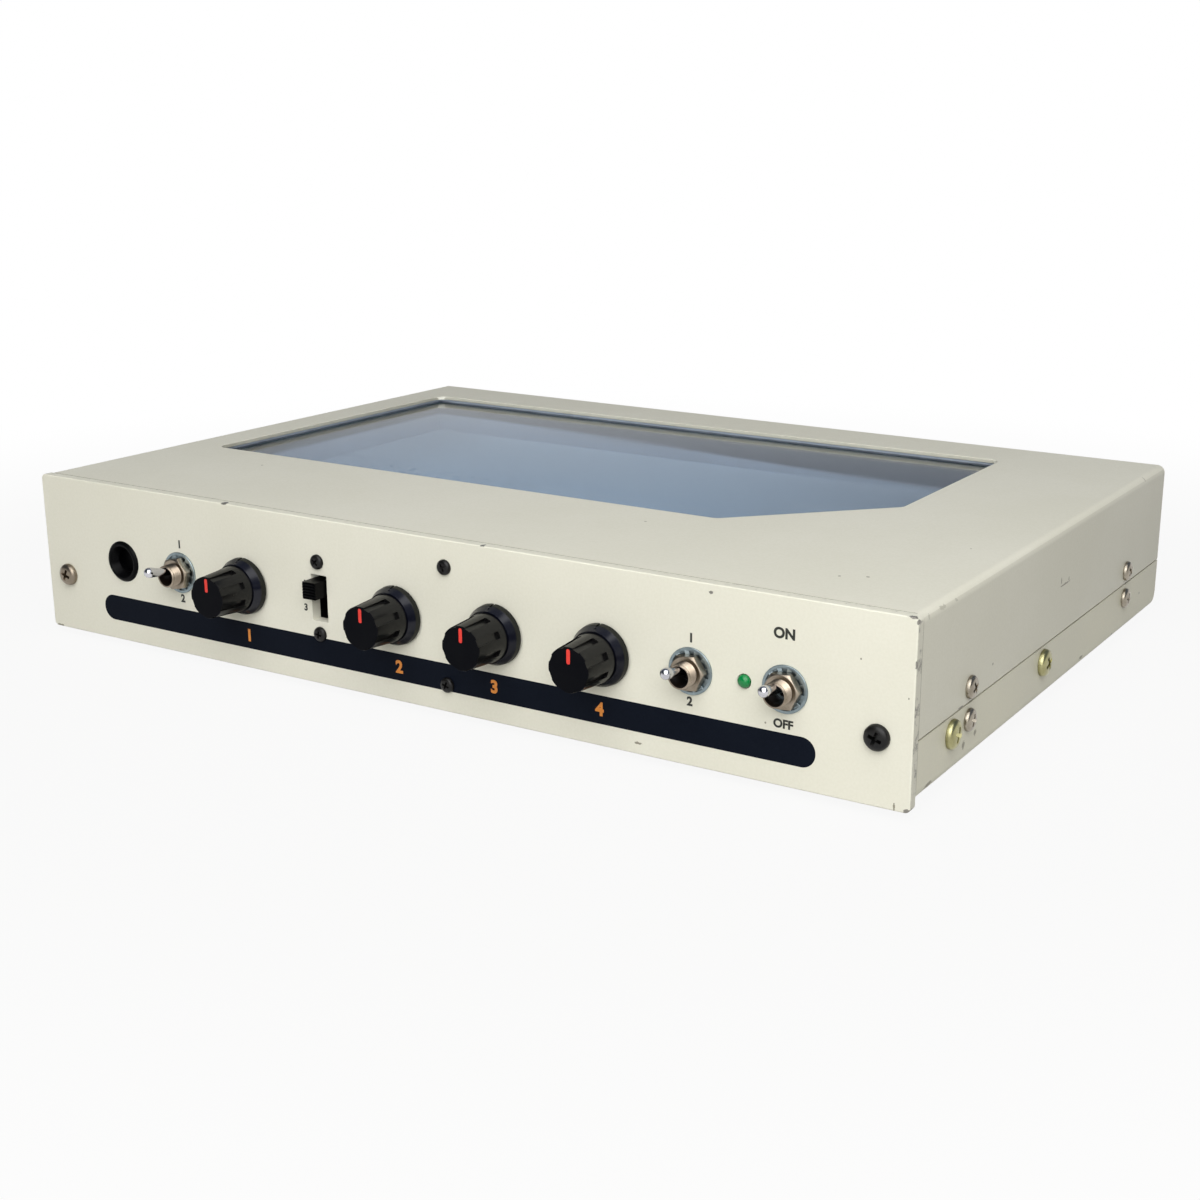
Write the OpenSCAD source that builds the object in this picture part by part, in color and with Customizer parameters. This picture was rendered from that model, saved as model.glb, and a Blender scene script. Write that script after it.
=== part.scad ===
// Tape echo unit: a low sheet-metal case with a window over the tape chamber.
// Sizes are first written in the panel's own frame: X across, Y from the panel's
// front face towards the rear, Z up from the panel's lower edge. placed() then
// moves every piece so that the origin is the centre of the base, feet included.

/* [Case] */
// Width of the front panel
panel_w = 264.4; // [250:0.1:320]
// Height of the front panel
panel_h = 44; // [43:0.5:56]
// Thickness of the front panel
panel_t = 3; // [2:0.5:4]
// Corner radius of the front panel
panel_corner = 2; // [0.5:0.1:3]
// Depth from the panel's front face to the rear edge of the covers
case_d = 182.5; // [160:0.5:240]
// Thickness of the cover and chassis sheet
sheet_t = 1.2; // [1:0.1:1.6]
// Outside radius of the sheet's long bends
bend_r = 2.2; // [2:0.1:4]
// Step from the panel's edge in to the sheet
side_inset = 0.1; // [0:0.05:0.5]
// Height of the chassis floor's underside over the panel's lower edge
floor_rise = 1.75; // [1:0.05:3]
// Height of the seam between top cover and chassis
seam_z = 15.7; // [14.5:0.1:17]
// Width of that seam
seam_gap = 0.3; // [0.1:0.1:0.6]
// Radius of the chassis side's lower rear corner
rear_round = 5; // [2:0.5:6]
// Thickness of the rear panel
rear_t = 2; // [1.5:0.5:3]
// Step from the covers' rear edge in to the rear panel
rear_inset = 1.2; // [0:0.1:3]

/* [Window] */
// Left edge of the window from the case's middle
window_left = 119.2; // [90:0.1:120]
// Right edge of the window from the case's middle
window_right = 88.5; // [70:0.1:110]
// Front edge of the window behind the panel's face
window_front = 54.7; // [50:0.1:60]
// Sheet left behind the window's rear edge
window_rear_margin = 19; // [12:0.5:30]
// Length of the cut corner along the window's front edge
corner_cut_x = 35.2; // [10:0.1:45]
// Length of the cut corner along the window's right edge
corner_cut_y = 37.3; // [10:0.1:45]
// Radius of the window's other corners
window_round = 2.5; // [1:0.5:5]
// Thickness of the glass
glass_t = 2; // [1.5:0.5:3]
// Thickness of the gasket over the glass
gasket_t = 0.8; // [0.4:0.1:1]
// How far the glass reaches under the sheet
glass_lap = 6; // [4:0.5:8]

/* [Front controls] */
// Height of the row of controls over the panel's lower edge
control_z = 22.9; // [21:0.1:25]
// Distance between the three right-hand knobs
knob_pitch = 30.2; // [27:0.1:32]
// Place of the right-most knob
knob_right_x = 54.2; // [50:0.1:58]
// Place of the input level knob
knob_input_x = -56.8; // [-60:0.1:-52]
// Place of the input jack
jack_x = -102.1; // [-106:0.1:-98]
// Place of the attenuator toggle
attenuator_x = -80.6; // [-84:0.1:-78]
// Place of the playback toggle
playback_x = 77.8; // [75:0.1:80]
// Place of the indicator lamp
led_x = 91.5; // [89:0.1:94]
// Place of the power toggle
power_x = 101.7; // [99:0.1:106]
// How much deeper the power toggle is set in the panel
power_setback = 0.8; // [0:0.1:1]
// Place of the mode switch
mode_x = -31.75; // [-34:0.05:-30]
// Middle of the mode switch's slot over the panel's lower edge
mode_z = 23.1; // [21:0.1:25]

/* [Knobs] */
// Radius of the knob's skirt at the panel
skirt_r = 7.6; // [7:0.1:8.5]
// Radius of the skirt's rim
skirt_rim_r = 7.3; // [6.9:0.1:7.6]
// Height of the knob over the panel
knob_h = 14.33; // [12:0.01:18]
// Radius of the knob's face
knob_face_r = 5.43; // [4.8:0.01:6]
// Radius of the knob's body at the skirt
knob_root_r = 6.15; // [5.8:0.05:6.6]
// Number of finger grooves round the knob
grip_grooves = 8; // [6:1:12]
// Radius of the control shafts
shaft_r = 3; // [2.5:0.1:3.2]

/* [Toggles] */
// Radius of the threaded bushing
bushing_r = 3; // [2.9:0.1:3.2]
// Reach of the bushing out of the panel
bushing_reach = 5.5; // [4.5:0.1:7]
// Outer radius of the toothed washer
washer_r = 5.6; // [5:0.1:6]
// Width of the nut across its flats
toggle_nut_af = 8; // [7.5:0.5:9]
// Lean of the lever to either side
lever_lean = 12; // [8:0.5:12]
// Length of the lever from its pivot to the middle of its round tip
lever_len = 11.65; // [10:0.05:14]
// Radius of the lever's tip
lever_tip_r = 1.4; // [1.2:0.05:1.6]

/* [Mode switch] */
// Width of the switch's slot
slot_w = 5.1; // [4.5:0.1:6]
// Height of the switch's slot
slot_h = 12.2; // [11.5:0.1:13]
// Height of the sliding knob
slider_h = 4.5; // [4:0.1:5]
// Reach of the sliding knob out of the panel
slider_reach = 3.9; // [3:0.1:6]
// Distance between the switch's two screws
mode_screw_pitch = 19.15; // [18.5:0.05:20]

/* [Tape transport] */
// Height of the deck's upper face over the panel's lower edge
deck_top = 29.5; // [27:0.1:30]
// Thickness of the deck
deck_t = 1.2; // [1:0.1:2]
// Front edge of the deck behind the panel's face
deck_front = 24; // [22:0.5:26]
// Width of the tape
tape_w = 6.35; // [3.8:0.05:6.35]
// Thickness of the tape band
tape_t = 0.25; // [0.2:0.05:0.4]
// Distance of the tape's front run behind the panel's face
front_run_y = 34; // [33:0.5:38]
// Distance of the tape's rear run behind the panel's face
rear_run_y = 66; // [62:0.5:68]
// Left end of the tape loop
loop_left_x = -98; // [-106:0.5:-90]
// Right end of the tape loop
loop_right_x = 79; // [76:0.5:82]
// Radius of the guide rollers
roller_r = 5; // [4:0.5:6]
// Radius of the fixed guide posts
guide_r = 3; // [2:0.5:4]
// Radius of the capstan
capstan_r = 1.5; // [1.2:0.1:2]
// Place of the capstan
capstan_x = 46; // [42:0.5:50]
// Radius of the pinch roller
pinch_r = 6; // [5:0.5:7]
// Radius of the flywheel
flywheel_r = 16.5; // [12:0.5:17]
// Place of the motor
motor_x = -6; // [-20:0.5:0]
// Distance of the motor behind the panel's face
motor_y = 52; // [48:0.5:56]
// Radius of the motor's pulley
pulley_r = 3.5; // [3:0.1:5]

/* [Feet and sockets] */
// Height of the rubber feet
foot_h = 4; // [3:0.5:6]
// Radius of the rubber feet
foot_r = 7; // [6:0.5:9]
// Radius of a jack's bore
plug_r = 3.2; // [3.2:0.01:3.25]
// Reach of the rear jacks past the covers' rear edge
rear_jack_reach = 2.5; // [2:0.1:5]
// Radius of the power inlet's bore
inlet_r = 2.8; // [2.8:0.05:3.2]

/* [Hidden] */

eps = 0.01;
// Radial gap of a press or screw fit, of a running fit, and round a loose hole
fit_gap = 0.02;
run_gap = 0.05;
hole_gap = 0.15;
// Gap left between tape or belt and the wheels that they run on
wrap_gap = 0.3;

knob_echo_x = knob_right_x - 2 * knob_pitch;
knob_repeat_x = knob_right_x - knob_pitch;
KNOB_XS = [knob_input_x, knob_echo_x, knob_repeat_x, knob_right_x];
// Toggles: [x, set-back]
TOGGLES = [[attenuator_x, 0], [playback_x, 0], [power_x, power_setback]];

// The frame that every piece is stored in
rear_most = case_d + rear_jack_reach;
mid_y = (rear_most - knob_h) / 2;
base_z = foot_h - floor_rise;

// Sheet shell
half_w = panel_w / 2 - side_inset;
inner_x = half_w - sheet_t;
floor_top = floor_rise + sheet_t;
roof_under = panel_h - sheet_t;
rear_y = case_d - rear_inset - rear_t;

// Rails behind the side sheets
rail_w = 12.6;
rail_web = 3;
rail_z0 = 5;
rail_z1 = deck_top - deck_t;
rail_flange = 3;
rail_end = 12;
end_screw_x = panel_w / 2 - 8.15;
end_screw_z = 16.15;
rear_screw_zs = [9.5, 21];
side_screw_ys = [32.1, case_d - 32.5];
side_screw_zs = [seam_z - 3.95, seam_z + 3.9];
strap_screw_ys = [22, 82.1];
strap_screw_z = seam_z - 4.25;

// Window, glass and chamber
window_back = case_d - window_rear_margin;
WINDOW_CORNERS = [[-window_left, window_front],
                  [window_right - corner_cut_x, window_front],
                  [window_right, window_front + corner_cut_y],
                  [window_right, window_back],
                  [-window_left, window_back]];
glass_top = roof_under - gasket_t;
glass_under = glass_top - glass_t;
wall_t = 2;
wall_gap = 3;
pillar_w = 5;
PILLAR_XS = [-60, 20];

// Screws: [head radius, head height, shank radius]
END_SCREW = [3.05, 1.9, 1.5];
SMALL_SCREW = [1.95, 1.2, 1];
SIDE_SCREW = [2.75, 1.6, 1.5];
STRAP_SCREW = [3.5, 2, 2];
DECK_SCREW = [2.4, 1.5, 1.25];
small_screw_x = 8.8;
small_screw_zs = [7.15, 37.2];
MODE_SCREW_ZS = [mode_z - mode_screw_pitch / 2 + 0.1, mode_z + mode_screw_pitch / 2 + 0.1];
deck_screw_ys = [deck_front + 14, case_d / 2, case_d - 20];
deck_screw_x = inner_x - 3.2;
bracket_screw_y = deck_front + 8;
bracket_w = 10;
bracket_t = 2;
deck_cut_gap = 0.5;

// Knob and its control
skirt_gap = 0.6;
skirt_side = 2.1;
skirt_slope = 1.5;
knob_base = skirt_gap + skirt_side + skirt_slope;
cavity_r = skirt_rim_r - 1;
cavity_top = 3.3;
pot_bushing_r = shaft_r + 0.6;
pot_bushing_reach = 3;
pot_r = 8;
pot_t = 8.4;
pot_washer_t = 0.5;
pot_nut_t = 2;
pot_nut_af = 10;
shaft_tail = panel_t + pot_t - 3;
shaft_reach = knob_h - 2.4;

// Toggle
lever_pivot_y = 0.5;
mouth_r = bushing_r - 0.55;
lever_neck_r = 1;
lever_ball_r = mouth_r - run_gap;
toggle_w = 7;
toggle_h = 13;
toggle_d = 9.5;
washer_t = 0.6;
toggle_nut_t = 2;
tooth_count = 12;

// Mode switch
slider_w = slot_w - 0.8;
slider_top_gap = 1;
slider_z = mode_z + slot_h / 2 - slider_top_gap - slider_h / 2;
mode_plate_t = 0.6;
mode_body_w = slot_w + 2;
mode_body_d = 7;

// Sockets
jack_r = 5.7;
jack_reach = 0.7;
jack_edge = 0.65;
jack_mouth_r = 4.4;
jack_mouth_depth = 2;
jack_body_w = 16;
jack_body_h = 12.6;
jack_len = 23;
rear_thread_r = jack_r - 0.7;
rear_nut_af = 13;
rear_nut_t = 2;
// How far the middle of a jack's body lies under its bore
jack_body_drop = 2;
REAR_JACK_XS = [-96, -66];
inlet_x = 94;
inlet_w = 9;
inlet_len = 13;
inlet_reach = 1.2;
inlet_depth = 9.5;
inlet_pin_r = 1;
led_r = 1.65;
led_flange_r = led_r + 0.4;

// Foot places
foot_x = half_w - 20;
FOOT_YS = [22, case_d - 22];

// Tape path and its wheels
tape_mid_z = (deck_top + glass_under) / 2;
tape_z0 = tape_mid_z - tape_w / 2;
loop_inset = tape_t / 2;
guide_y = front_run_y + loop_inset + run_gap + guide_r;
roller_y = rear_run_y - loop_inset - wrap_gap - roller_r;
capstan_y = front_run_y + loop_inset + wrap_gap + capstan_r;
pinch_y = front_run_y - loop_inset - wrap_gap - pinch_r;
flange_t = 0.8;
pin_r = 1.2;
guide_left_x = loop_left_x + guide_r + run_gap;
guide_right_x = loop_right_x - guide_r - run_gap;
roller_left_x = loop_left_x + roller_r + wrap_gap;
roller_right_x = loop_right_x - roller_r - wrap_gap;
arm_x = capstan_x + 18;
arm_y = pinch_y - 1;
arm_z0 = tape_z0 + tape_w + 0.4;
arm_t = 1.4;
arm_tube_z = deck_top + 4.2;
arm_post_r = 1.5;
arm_tube_r = 3;
HEAD_XS = [-42, -22, -2];
erase_x = -64;
head_w = 11;
head_d = 9;

// Drive below the deck: the belt runs in the middle between floor and motor, raised a little
flywheel_t = 8;
belt_w = 3;
belt_t = 0.8;
belt_rise = 1.075;
motor_r = 15;
motor_h = 10.5;
motor_z0 = deck_top - deck_t - motor_h;
motor_shaft_r = 1;
belt_mid_z = (floor_top + motor_z0) / 2 + belt_rise;
belt_z0 = belt_mid_z - belt_w / 2;
flywheel_z0 = belt_mid_z - flywheel_t / 2;
bearing_r = 4;
bearing_z0 = flywheel_z0 + flywheel_t + 1;
pulley_flange_r = pulley_r + 1;
pulley_flange_t = 0.7;

// Board
board_t = 1.6;
board_z = floor_top + 5.5;
board_w = 210;
board_y0 = 88;
board_y1 = rear_y - 14;
board_fix_inset = 8;
standoff_r = 3;
BOARD_FIXES = [for (x = [-1, 1], y = [board_y0 + board_fix_inset, board_y1 - board_fix_inset])
    [x * (board_w / 2 - board_fix_inset), y]];

// The rear jacks' bodies lie in the middle between board and deck, lowered a little
socket_drop = 0.275;
rear_socket_z = (board_z + board_t + rail_z1) / 2 - socket_drop + jack_body_drop;

// ---------------------------------------------------------------- helpers

module placed() translate([0, -mid_y, base_z]) children();

// Children are drawn flat in X and Z and run back from y0 by len
module along_y(y0, len) translate([0, y0 + len, 0]) rotate([90, 0, 0]) linear_extrude(len)
    children();

// Local +Z points out of the front, out of the rear, or out of a side (s = -1 or 1)
module front_at(x, z, y = 0) translate([x, y, z]) rotate([90, 0, 0]) children();
module rear_at(x, z, y) translate([x, y, z]) rotate([-90, 0, 0]) children();
module side_at(s, y, z) translate([s * half_w, y, z]) rotate([0, s * 90, 0]) children();

module tube(r_out, r_in, h) difference() {
    cylinder(r = r_out, h = h, $fn = 48);
    translate([0, 0, -eps]) cylinder(r = r_in, h = h + 2 * eps, $fn = 48);
}

// Flat rectangle from [x0, y0] to [x1, y1] with round corners
module round_rect(x0, y0, x1, y1, r) {
    translate([x0 + r, y0]) square([x1 - x0 - 2 * r, y1 - y0]);
    translate([x0, y0 + r]) square([x1 - x0, y1 - y0 - 2 * r]);
    for (x = [x0 + r, x1 - r], y = [y0 + r, y1 - r]) translate([x, y]) circle(r = r, $fn = 40);
}

function unit(v) = v / norm(v);
// Points of the arc of radius r that rounds corner b between a and c
function fillet(a, b, c, r, n) =
    let (u = unit(a - b), v = unit(c - b), half = acos(u * v) / 2,
         centre = b + unit(u + v) * r / sin(half),
         from = b + u * r / tan(half) - centre,
         to = b + v * r / tan(half) - centre)
    [for (i = [0:n]) centre + r * unit(from * (n - i) + to * i)];
function rounded(pts, r, n) =
    [for (i = [0:len(pts) - 1])
        for (p = fillet(pts[(i + len(pts) - 1) % len(pts)], pts[i],
                        pts[(i + 1) % len(pts)], r, n)) p];

module window_shape(grow) offset(delta = grow) polygon(WINDOW_CORNERS);

// Cross-head screw: seat at z = 0, head above it, shank below
module pan_screw(size, shank_len) {
    head_r = size[0];
    head_h = size[1];
    slot = head_r * 0.28;
    difference() {
        intersection() {
            cylinder(r = head_r, h = head_h, $fn = 40);
            translate([0, 0, head_h - head_r * 1.9]) sphere(r = head_r * 1.9, $fn = 64);
        }
        for (a = [0, 90]) rotate(a)
            translate([-slot / 2, -head_r * 0.55, head_h * 0.35])
                cube([slot, head_r * 1.1, head_h]);
    }
    translate([0, 0, -shank_len]) cylinder(r = size[2], h = shank_len + eps, $fn = 32);
}

module hex(af, h) cylinder(r = af / 2 / cos(30), h = h, $fn = 6);

// ---------------------------------------------------------------- case

module shell_tube() difference() {
    along_y(panel_t, case_d - panel_t) difference() {
        round_rect(-half_w, floor_rise, half_w, panel_h, bend_r);
        round_rect(-inner_x, floor_top, inner_x, roof_under, bend_r - sheet_t);
    }
    for (s = [-1, 1], y = side_screw_ys, z = side_screw_zs)
        side_at(s, y, z) translate([0, 0, -sheet_t - 1])
            cylinder(r = SIDE_SCREW[2] + hole_gap, h = sheet_t + 2, $fn = 32);
    for (s = [-1, 1], y = strap_screw_ys)
        side_at(s, y, strap_screw_z) translate([0, 0, -sheet_t - 1])
            cylinder(r = STRAP_SCREW[2] + hole_gap, h = sheet_t + 2, $fn = 32);
}

// What rounds the chassis off at its lower rear corner, seen from the side
module rear_corner_cut() translate([-half_w - 1, case_d - rear_round, floor_rise])
    difference() {
        translate([0, 0, -1]) cube([2 * half_w + 2, rear_round + 1, rear_round + 1]);
        translate([-1, 0, rear_round]) rotate([0, 90, 0])
            cylinder(r = rear_round, h = 2 * half_w + 4, $fn = 48);
    }

module top_cover() placed() color("ivory") difference() {
    shell_tube();
    translate([-half_w - 1, -1, -1])
        cube([2 * half_w + 2, case_d + 2, seam_z + seam_gap / 2 + 1]);
    translate([0, 0, roof_under - 1]) linear_extrude(sheet_t + 2)
        polygon(rounded(WINDOW_CORNERS, window_round, 5));
}

module bottom_chassis() placed() color("ivory") {
    difference() {
        shell_tube();
        translate([-half_w - 1, -1, seam_z - seam_gap / 2])
            cube([2 * half_w + 2, case_d + 2, panel_h]);
        rear_corner_cut();
        for (s = [-1, 1], y = FOOT_YS) translate([s * foot_x, y, floor_rise - 1])
            cylinder(r = SIDE_SCREW[2] + hole_gap, h = sheet_t + 2, $fn = 32);
    }
    for (p = BOARD_FIXES) translate([p[0], p[1], floor_top - eps])
        tube(standoff_r, SMALL_SCREW[2] + fit_gap, board_z - floor_top + eps);
}

module front_panel() placed() color("ivory") difference() {
    along_y(0, panel_t)
        round_rect(-panel_w / 2, 0, panel_w / 2, panel_h, panel_corner);
    panel_hole(jack_x, control_z, jack_r + run_gap);
    for (x = KNOB_XS) panel_hole(x, control_z, pot_bushing_r + hole_gap);
    for (t = TOGGLES) panel_hole(t[0], control_z, bushing_r + hole_gap);
    panel_hole(led_x, control_z, led_r + run_gap);
    for (s = [-1, 1]) panel_hole(s * end_screw_x, end_screw_z, END_SCREW[2] + hole_gap);
    for (z = small_screw_zs) panel_hole(small_screw_x, z, SMALL_SCREW[2] + hole_gap);
    for (z = MODE_SCREW_ZS) panel_hole(mode_x, z, SMALL_SCREW[2] + hole_gap);
    along_y(-1, panel_t + 2) translate([mode_x - slot_w / 2, mode_z - slot_h / 2])
        square([slot_w, slot_h]);
}
module panel_hole(x, z, r) front_at(x, z, panel_t + 1) cylinder(r = r, h = panel_t + 2, $fn = 40);

module rear_panel() placed() color("ivory") difference() {
    along_y(rear_y, rear_t)
        round_rect(-inner_x + 0.2, floor_top + 0.2, inner_x - 0.2, roof_under - 0.2,
                   bend_r - sheet_t);
    for (x = REAR_JACK_XS) rear_hole(x, rear_socket_z, jack_r + run_gap);
    rear_hole(inlet_x, rear_socket_z, inlet_w / 2 + 0.3);
    for (s = [-1, 1], z = rear_screw_zs) rear_hole(s * end_screw_x, z, SIDE_SCREW[2] + hole_gap);
}
module rear_hole(x, z, r) rear_at(x, z, rear_y - 1) cylinder(r = r, h = rear_t + 2, $fn = 40);

// A rail joins the panels, the sheets and the deck on one side
module side_rail(s) color("silver") difference() {
    union() {
        rail_box(s, rail_web, panel_t, rear_y, rail_z0, rail_z1);
        rail_box(s, rail_w, panel_t, panel_t + rail_end, rail_z0, rail_z1);
        rail_box(s, rail_w, rear_y - rail_end, rear_y, rail_z0, rail_z1);
        rail_box(s, rail_w, panel_t, rear_y, rail_z1 - rail_flange, rail_z1);
    }
    front_at(s * end_screw_x, end_screw_z, panel_t + 9)
        cylinder(r = END_SCREW[2] + fit_gap, h = 10, $fn = 32);
    for (z = rear_screw_zs) rear_at(s * end_screw_x, z, rear_y - 9)
        cylinder(r = SIDE_SCREW[2] + fit_gap, h = 10, $fn = 32);
    for (y = side_screw_ys, z = side_screw_zs)
        side_at(s, y, z) translate([0, 0, -sheet_t - rail_web - 1])
            cylinder(r = SIDE_SCREW[2] + fit_gap, h = rail_web + 2, $fn = 32);
    for (y = strap_screw_ys)
        side_at(s, y, strap_screw_z) translate([0, 0, -sheet_t - rail_web - 1])
            cylinder(r = STRAP_SCREW[2] + fit_gap, h = rail_web + 2, $fn = 32);
    for (y = deck_screw_ys) translate([s * deck_screw_x, y, rail_z1 - 4])
        cylinder(r = DECK_SCREW[2] + fit_gap, h = 5, $fn = 32);
}
// Box against the inside of side s, w wide
module rail_box(s, w, y0, y1, z0, z1)
    translate([s > 0 ? inner_x - w : -inner_x, y0, z0]) cube([w, y1 - y0, z1 - z0]);
module side_rail_left() placed() side_rail(-1);
module side_rail_right() placed() side_rail(1);

// Angle that ties the middle of the panel to the front edge of the deck
module centre_bracket() placed() color("silver") difference() {
    union() {
        translate([small_screw_x - bracket_w / 2, panel_t, floor_top + 1])
            cube([bracket_w, bracket_t, roof_under - floor_top - 2]);
        translate([small_screw_x - bracket_w / 2, panel_t, rail_z1 - bracket_t])
            cube([bracket_w, bracket_screw_y + 4 - panel_t, bracket_t]);
    }
    for (z = small_screw_zs) front_at(small_screw_x, z, panel_t + bracket_t + 1)
        cylinder(r = SMALL_SCREW[2] + fit_gap, h = bracket_t + 2, $fn = 32);
    translate([small_screw_x, bracket_screw_y, rail_z1 - bracket_t - 1])
        cylinder(r = DECK_SCREW[2] + fit_gap, h = bracket_t + 2, $fn = 32);
}

module deck_plate() placed() color("lightsteelblue") difference() {
    translate([-inner_x + 0.3, deck_front, deck_top - deck_t])
        cube([2 * inner_x - 0.6, rear_y - deck_front - 0.3, deck_t]);
    for (s = [-1, 1], y = deck_screw_ys) deck_hole(s * deck_screw_x, y, DECK_SCREW[2] + hole_gap);
    deck_hole(small_screw_x, bracket_screw_y, DECK_SCREW[2] + hole_gap);
    deck_hole(capstan_x, capstan_y, bearing_r + fit_gap);
    for (p = POSTS) deck_hole(p[0], p[1], pin_r + fit_gap);
    // Room for the input jack's body, where it is as high as the deck
    jack_block(jack_x, panel_t, control_z, deck_cut_gap);
}
module deck_hole(x, y, r) translate([x, y, deck_top - deck_t - 1])
    cylinder(r = r, h = deck_t + 2, $fn = 32);

// ---------------------------------------------------------------- window

module window_glass() placed() color("powderblue", 0.4) translate([0, 0, glass_under])
    linear_extrude(glass_t) window_shape(glass_lap);

module window_gasket() placed() color("dimgray") translate([0, 0, glass_top])
    linear_extrude(gasket_t) difference() {
        window_shape(glass_lap);
        window_shape(1);
    }

// Dark wall on three sides of the chamber, and two pillars under the glass's front edge
module chamber_wall() placed() color("dimgray") translate([0, 0, deck_top]) {
    difference() {
        linear_extrude(glass_under - deck_top) difference() {
            window_shape(wall_gap + wall_t);
            window_shape(wall_gap);
        }
        translate([-window_left - wall_gap, window_front - glass_lap - 1, -1])
            cube([window_left + window_right + 20, corner_cut_y + glass_lap + 3, panel_h]);
    }
    for (x = PILLAR_XS) translate([x - pillar_w / 2, window_front - wall_gap - wall_t, 0])
        cube([pillar_w, wall_t, glass_under - deck_top]);
}

// ---------------------------------------------------------------- feet and screws

module rubber_feet() placed() color("#1c1c1c")
    for (s = [-1, 1], y = FOOT_YS) translate([s * foot_x, y, floor_rise - foot_h]) difference() {
        union() {
            cylinder(r1 = foot_r - 0.6, r2 = foot_r, h = 1, $fn = 48);
            translate([0, 0, 1]) cylinder(r = foot_r, h = foot_h - 1, $fn = 48);
        }
        translate([0, 0, -1]) cylinder(r = SIDE_SCREW[2] + hole_gap, h = foot_h + 2, $fn = 32);
        translate([0, 0, -1]) cylinder(r = SIDE_SCREW[0] + 0.3, h = 3.2, $fn = 32);
    }

module foot_screws() placed() color("silver") for (s = [-1, 1], y = FOOT_YS) {
    translate([s * foot_x, y, floor_rise - foot_h + 2.2]) rotate([180, 0, 0])
        pan_screw(SIDE_SCREW, foot_h - 2.2 + sheet_t + 2.4);
    translate([s * foot_x, y, floor_top]) difference() {
        hex(5.5, 2.2);
        translate([0, 0, -eps]) cylinder(r = SIDE_SCREW[2] + fit_gap, h = 3, $fn = 32);
    }
}

module panel_screw_left() placed() color("tan")
    front_at(-end_screw_x, end_screw_z) pan_screw(END_SCREW, 10);
module panel_screw_right() placed() color("#202020")
    front_at(end_screw_x, end_screw_z) pan_screw(END_SCREW, 10);

module small_black_screws() placed() color("#202020") {
    for (z = small_screw_zs) front_at(small_screw_x, z) pan_screw(SMALL_SCREW, panel_t + 2);
    for (z = MODE_SCREW_ZS) front_at(mode_x, z)
        pan_screw(SMALL_SCREW, panel_t + mode_plate_t + 1);
}

module side_screws() placed() color("silver") for (s = [-1, 1], y = side_screw_ys, z = side_screw_zs)
    side_at(s, y, z) pan_screw(SIDE_SCREW, sheet_t + rail_web);

module strap_screws() placed() color("darkkhaki") for (s = [-1, 1], y = strap_screw_ys)
    side_at(s, y, strap_screw_z) pan_screw(STRAP_SCREW, sheet_t + rail_web);

module rear_screws() placed() color("silver") for (s = [-1, 1], z = rear_screw_zs)
    rear_at(s * end_screw_x, z, rear_y + rear_t) pan_screw(SIDE_SCREW, rear_t + 7);

module deck_screws() placed() color("silver") {
    for (s = [-1, 1], y = deck_screw_ys) translate([s * deck_screw_x, y, deck_top])
        pan_screw(DECK_SCREW, deck_t + 3);
    translate([small_screw_x, bracket_screw_y, deck_top])
        pan_screw(DECK_SCREW, deck_t + bracket_t - 0.2);
}

// ---------------------------------------------------------------- knobs and controls

module knob(x) placed() color("#161616") front_at(x, control_z) difference() {
    union() {
        translate([0, 0, skirt_gap])
            cylinder(r1 = skirt_r, r2 = skirt_rim_r, h = skirt_side, $fn = 64);
        translate([0, 0, skirt_gap + skirt_side])
            cylinder(r1 = skirt_rim_r, r2 = knob_root_r + 0.1, h = skirt_slope, $fn = 64);
        translate([0, 0, knob_base - eps])
            cylinder(r1 = knob_root_r, r2 = knob_face_r, h = knob_h - knob_base, $fn = 64);
    }
    for (i = [0:grip_grooves - 1]) rotate((i + 0.5) * 360 / grip_grooves)
        translate([knob_face_r - 0.25, -0.9, knob_base + 2.2]) cube([2, 1.8, knob_h]);
    translate([0, 0, -eps]) cylinder(r = cavity_r, h = cavity_top, $fn = 48);
    translate([0, 0, cavity_top - 2 * eps])
        cylinder(r = shaft_r + fit_gap, h = shaft_reach + 0.3 - cavity_top, $fn = 48);
    // Groove for the painted pointer
    translate([-0.5, 1.35, knob_h - 0.2]) cube([1, 3.65, 1]);
}
module knob_input() knob(knob_input_x);
module knob_echo() knob(knob_echo_x);
module knob_repeat() knob(knob_repeat_x);
module knob_time() knob(knob_right_x);

module shaft(x) placed() color("silver") front_at(x, control_z, shaft_tail)
    cylinder(r = shaft_r, h = shaft_tail + shaft_reach, $fn = 48);
module shaft_input() shaft(knob_input_x);
module shaft_echo() shaft(knob_echo_x);
module shaft_repeat() shaft(knob_repeat_x);
module shaft_time() shaft(knob_right_x);

module pot_bodies() placed() color("gray") for (x = KNOB_XS) difference() {
    union() {
        front_at(x, control_z, panel_t + pot_t) cylinder(r = pot_r, h = pot_t, $fn = 48);
        front_at(x, control_z, panel_t) translate([0, 0, -eps])
            cylinder(r = pot_bushing_r, h = panel_t + pot_bushing_reach + eps, $fn = 48);
        translate([x - 6, panel_t + 3, control_z - pot_r - 4]) cube([12, 1.2, 6]);
    }
    front_at(x, control_z, shaft_tail + 0.3)
        cylinder(r = shaft_r + run_gap, h = shaft_tail + pot_bushing_reach + 1, $fn = 48);
}

module pot_nuts() placed() color("silver") for (x = KNOB_XS) front_at(x, control_z) difference() {
    union() {
        cylinder(r = pot_bushing_r + 2, h = pot_washer_t + eps, $fn = 48);
        translate([0, 0, pot_washer_t]) hex(pot_nut_af, pot_nut_t);
    }
    translate([0, 0, -eps])
        cylinder(r = pot_bushing_r + fit_gap, h = pot_washer_t + pot_nut_t + 1, $fn = 48);
}

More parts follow.
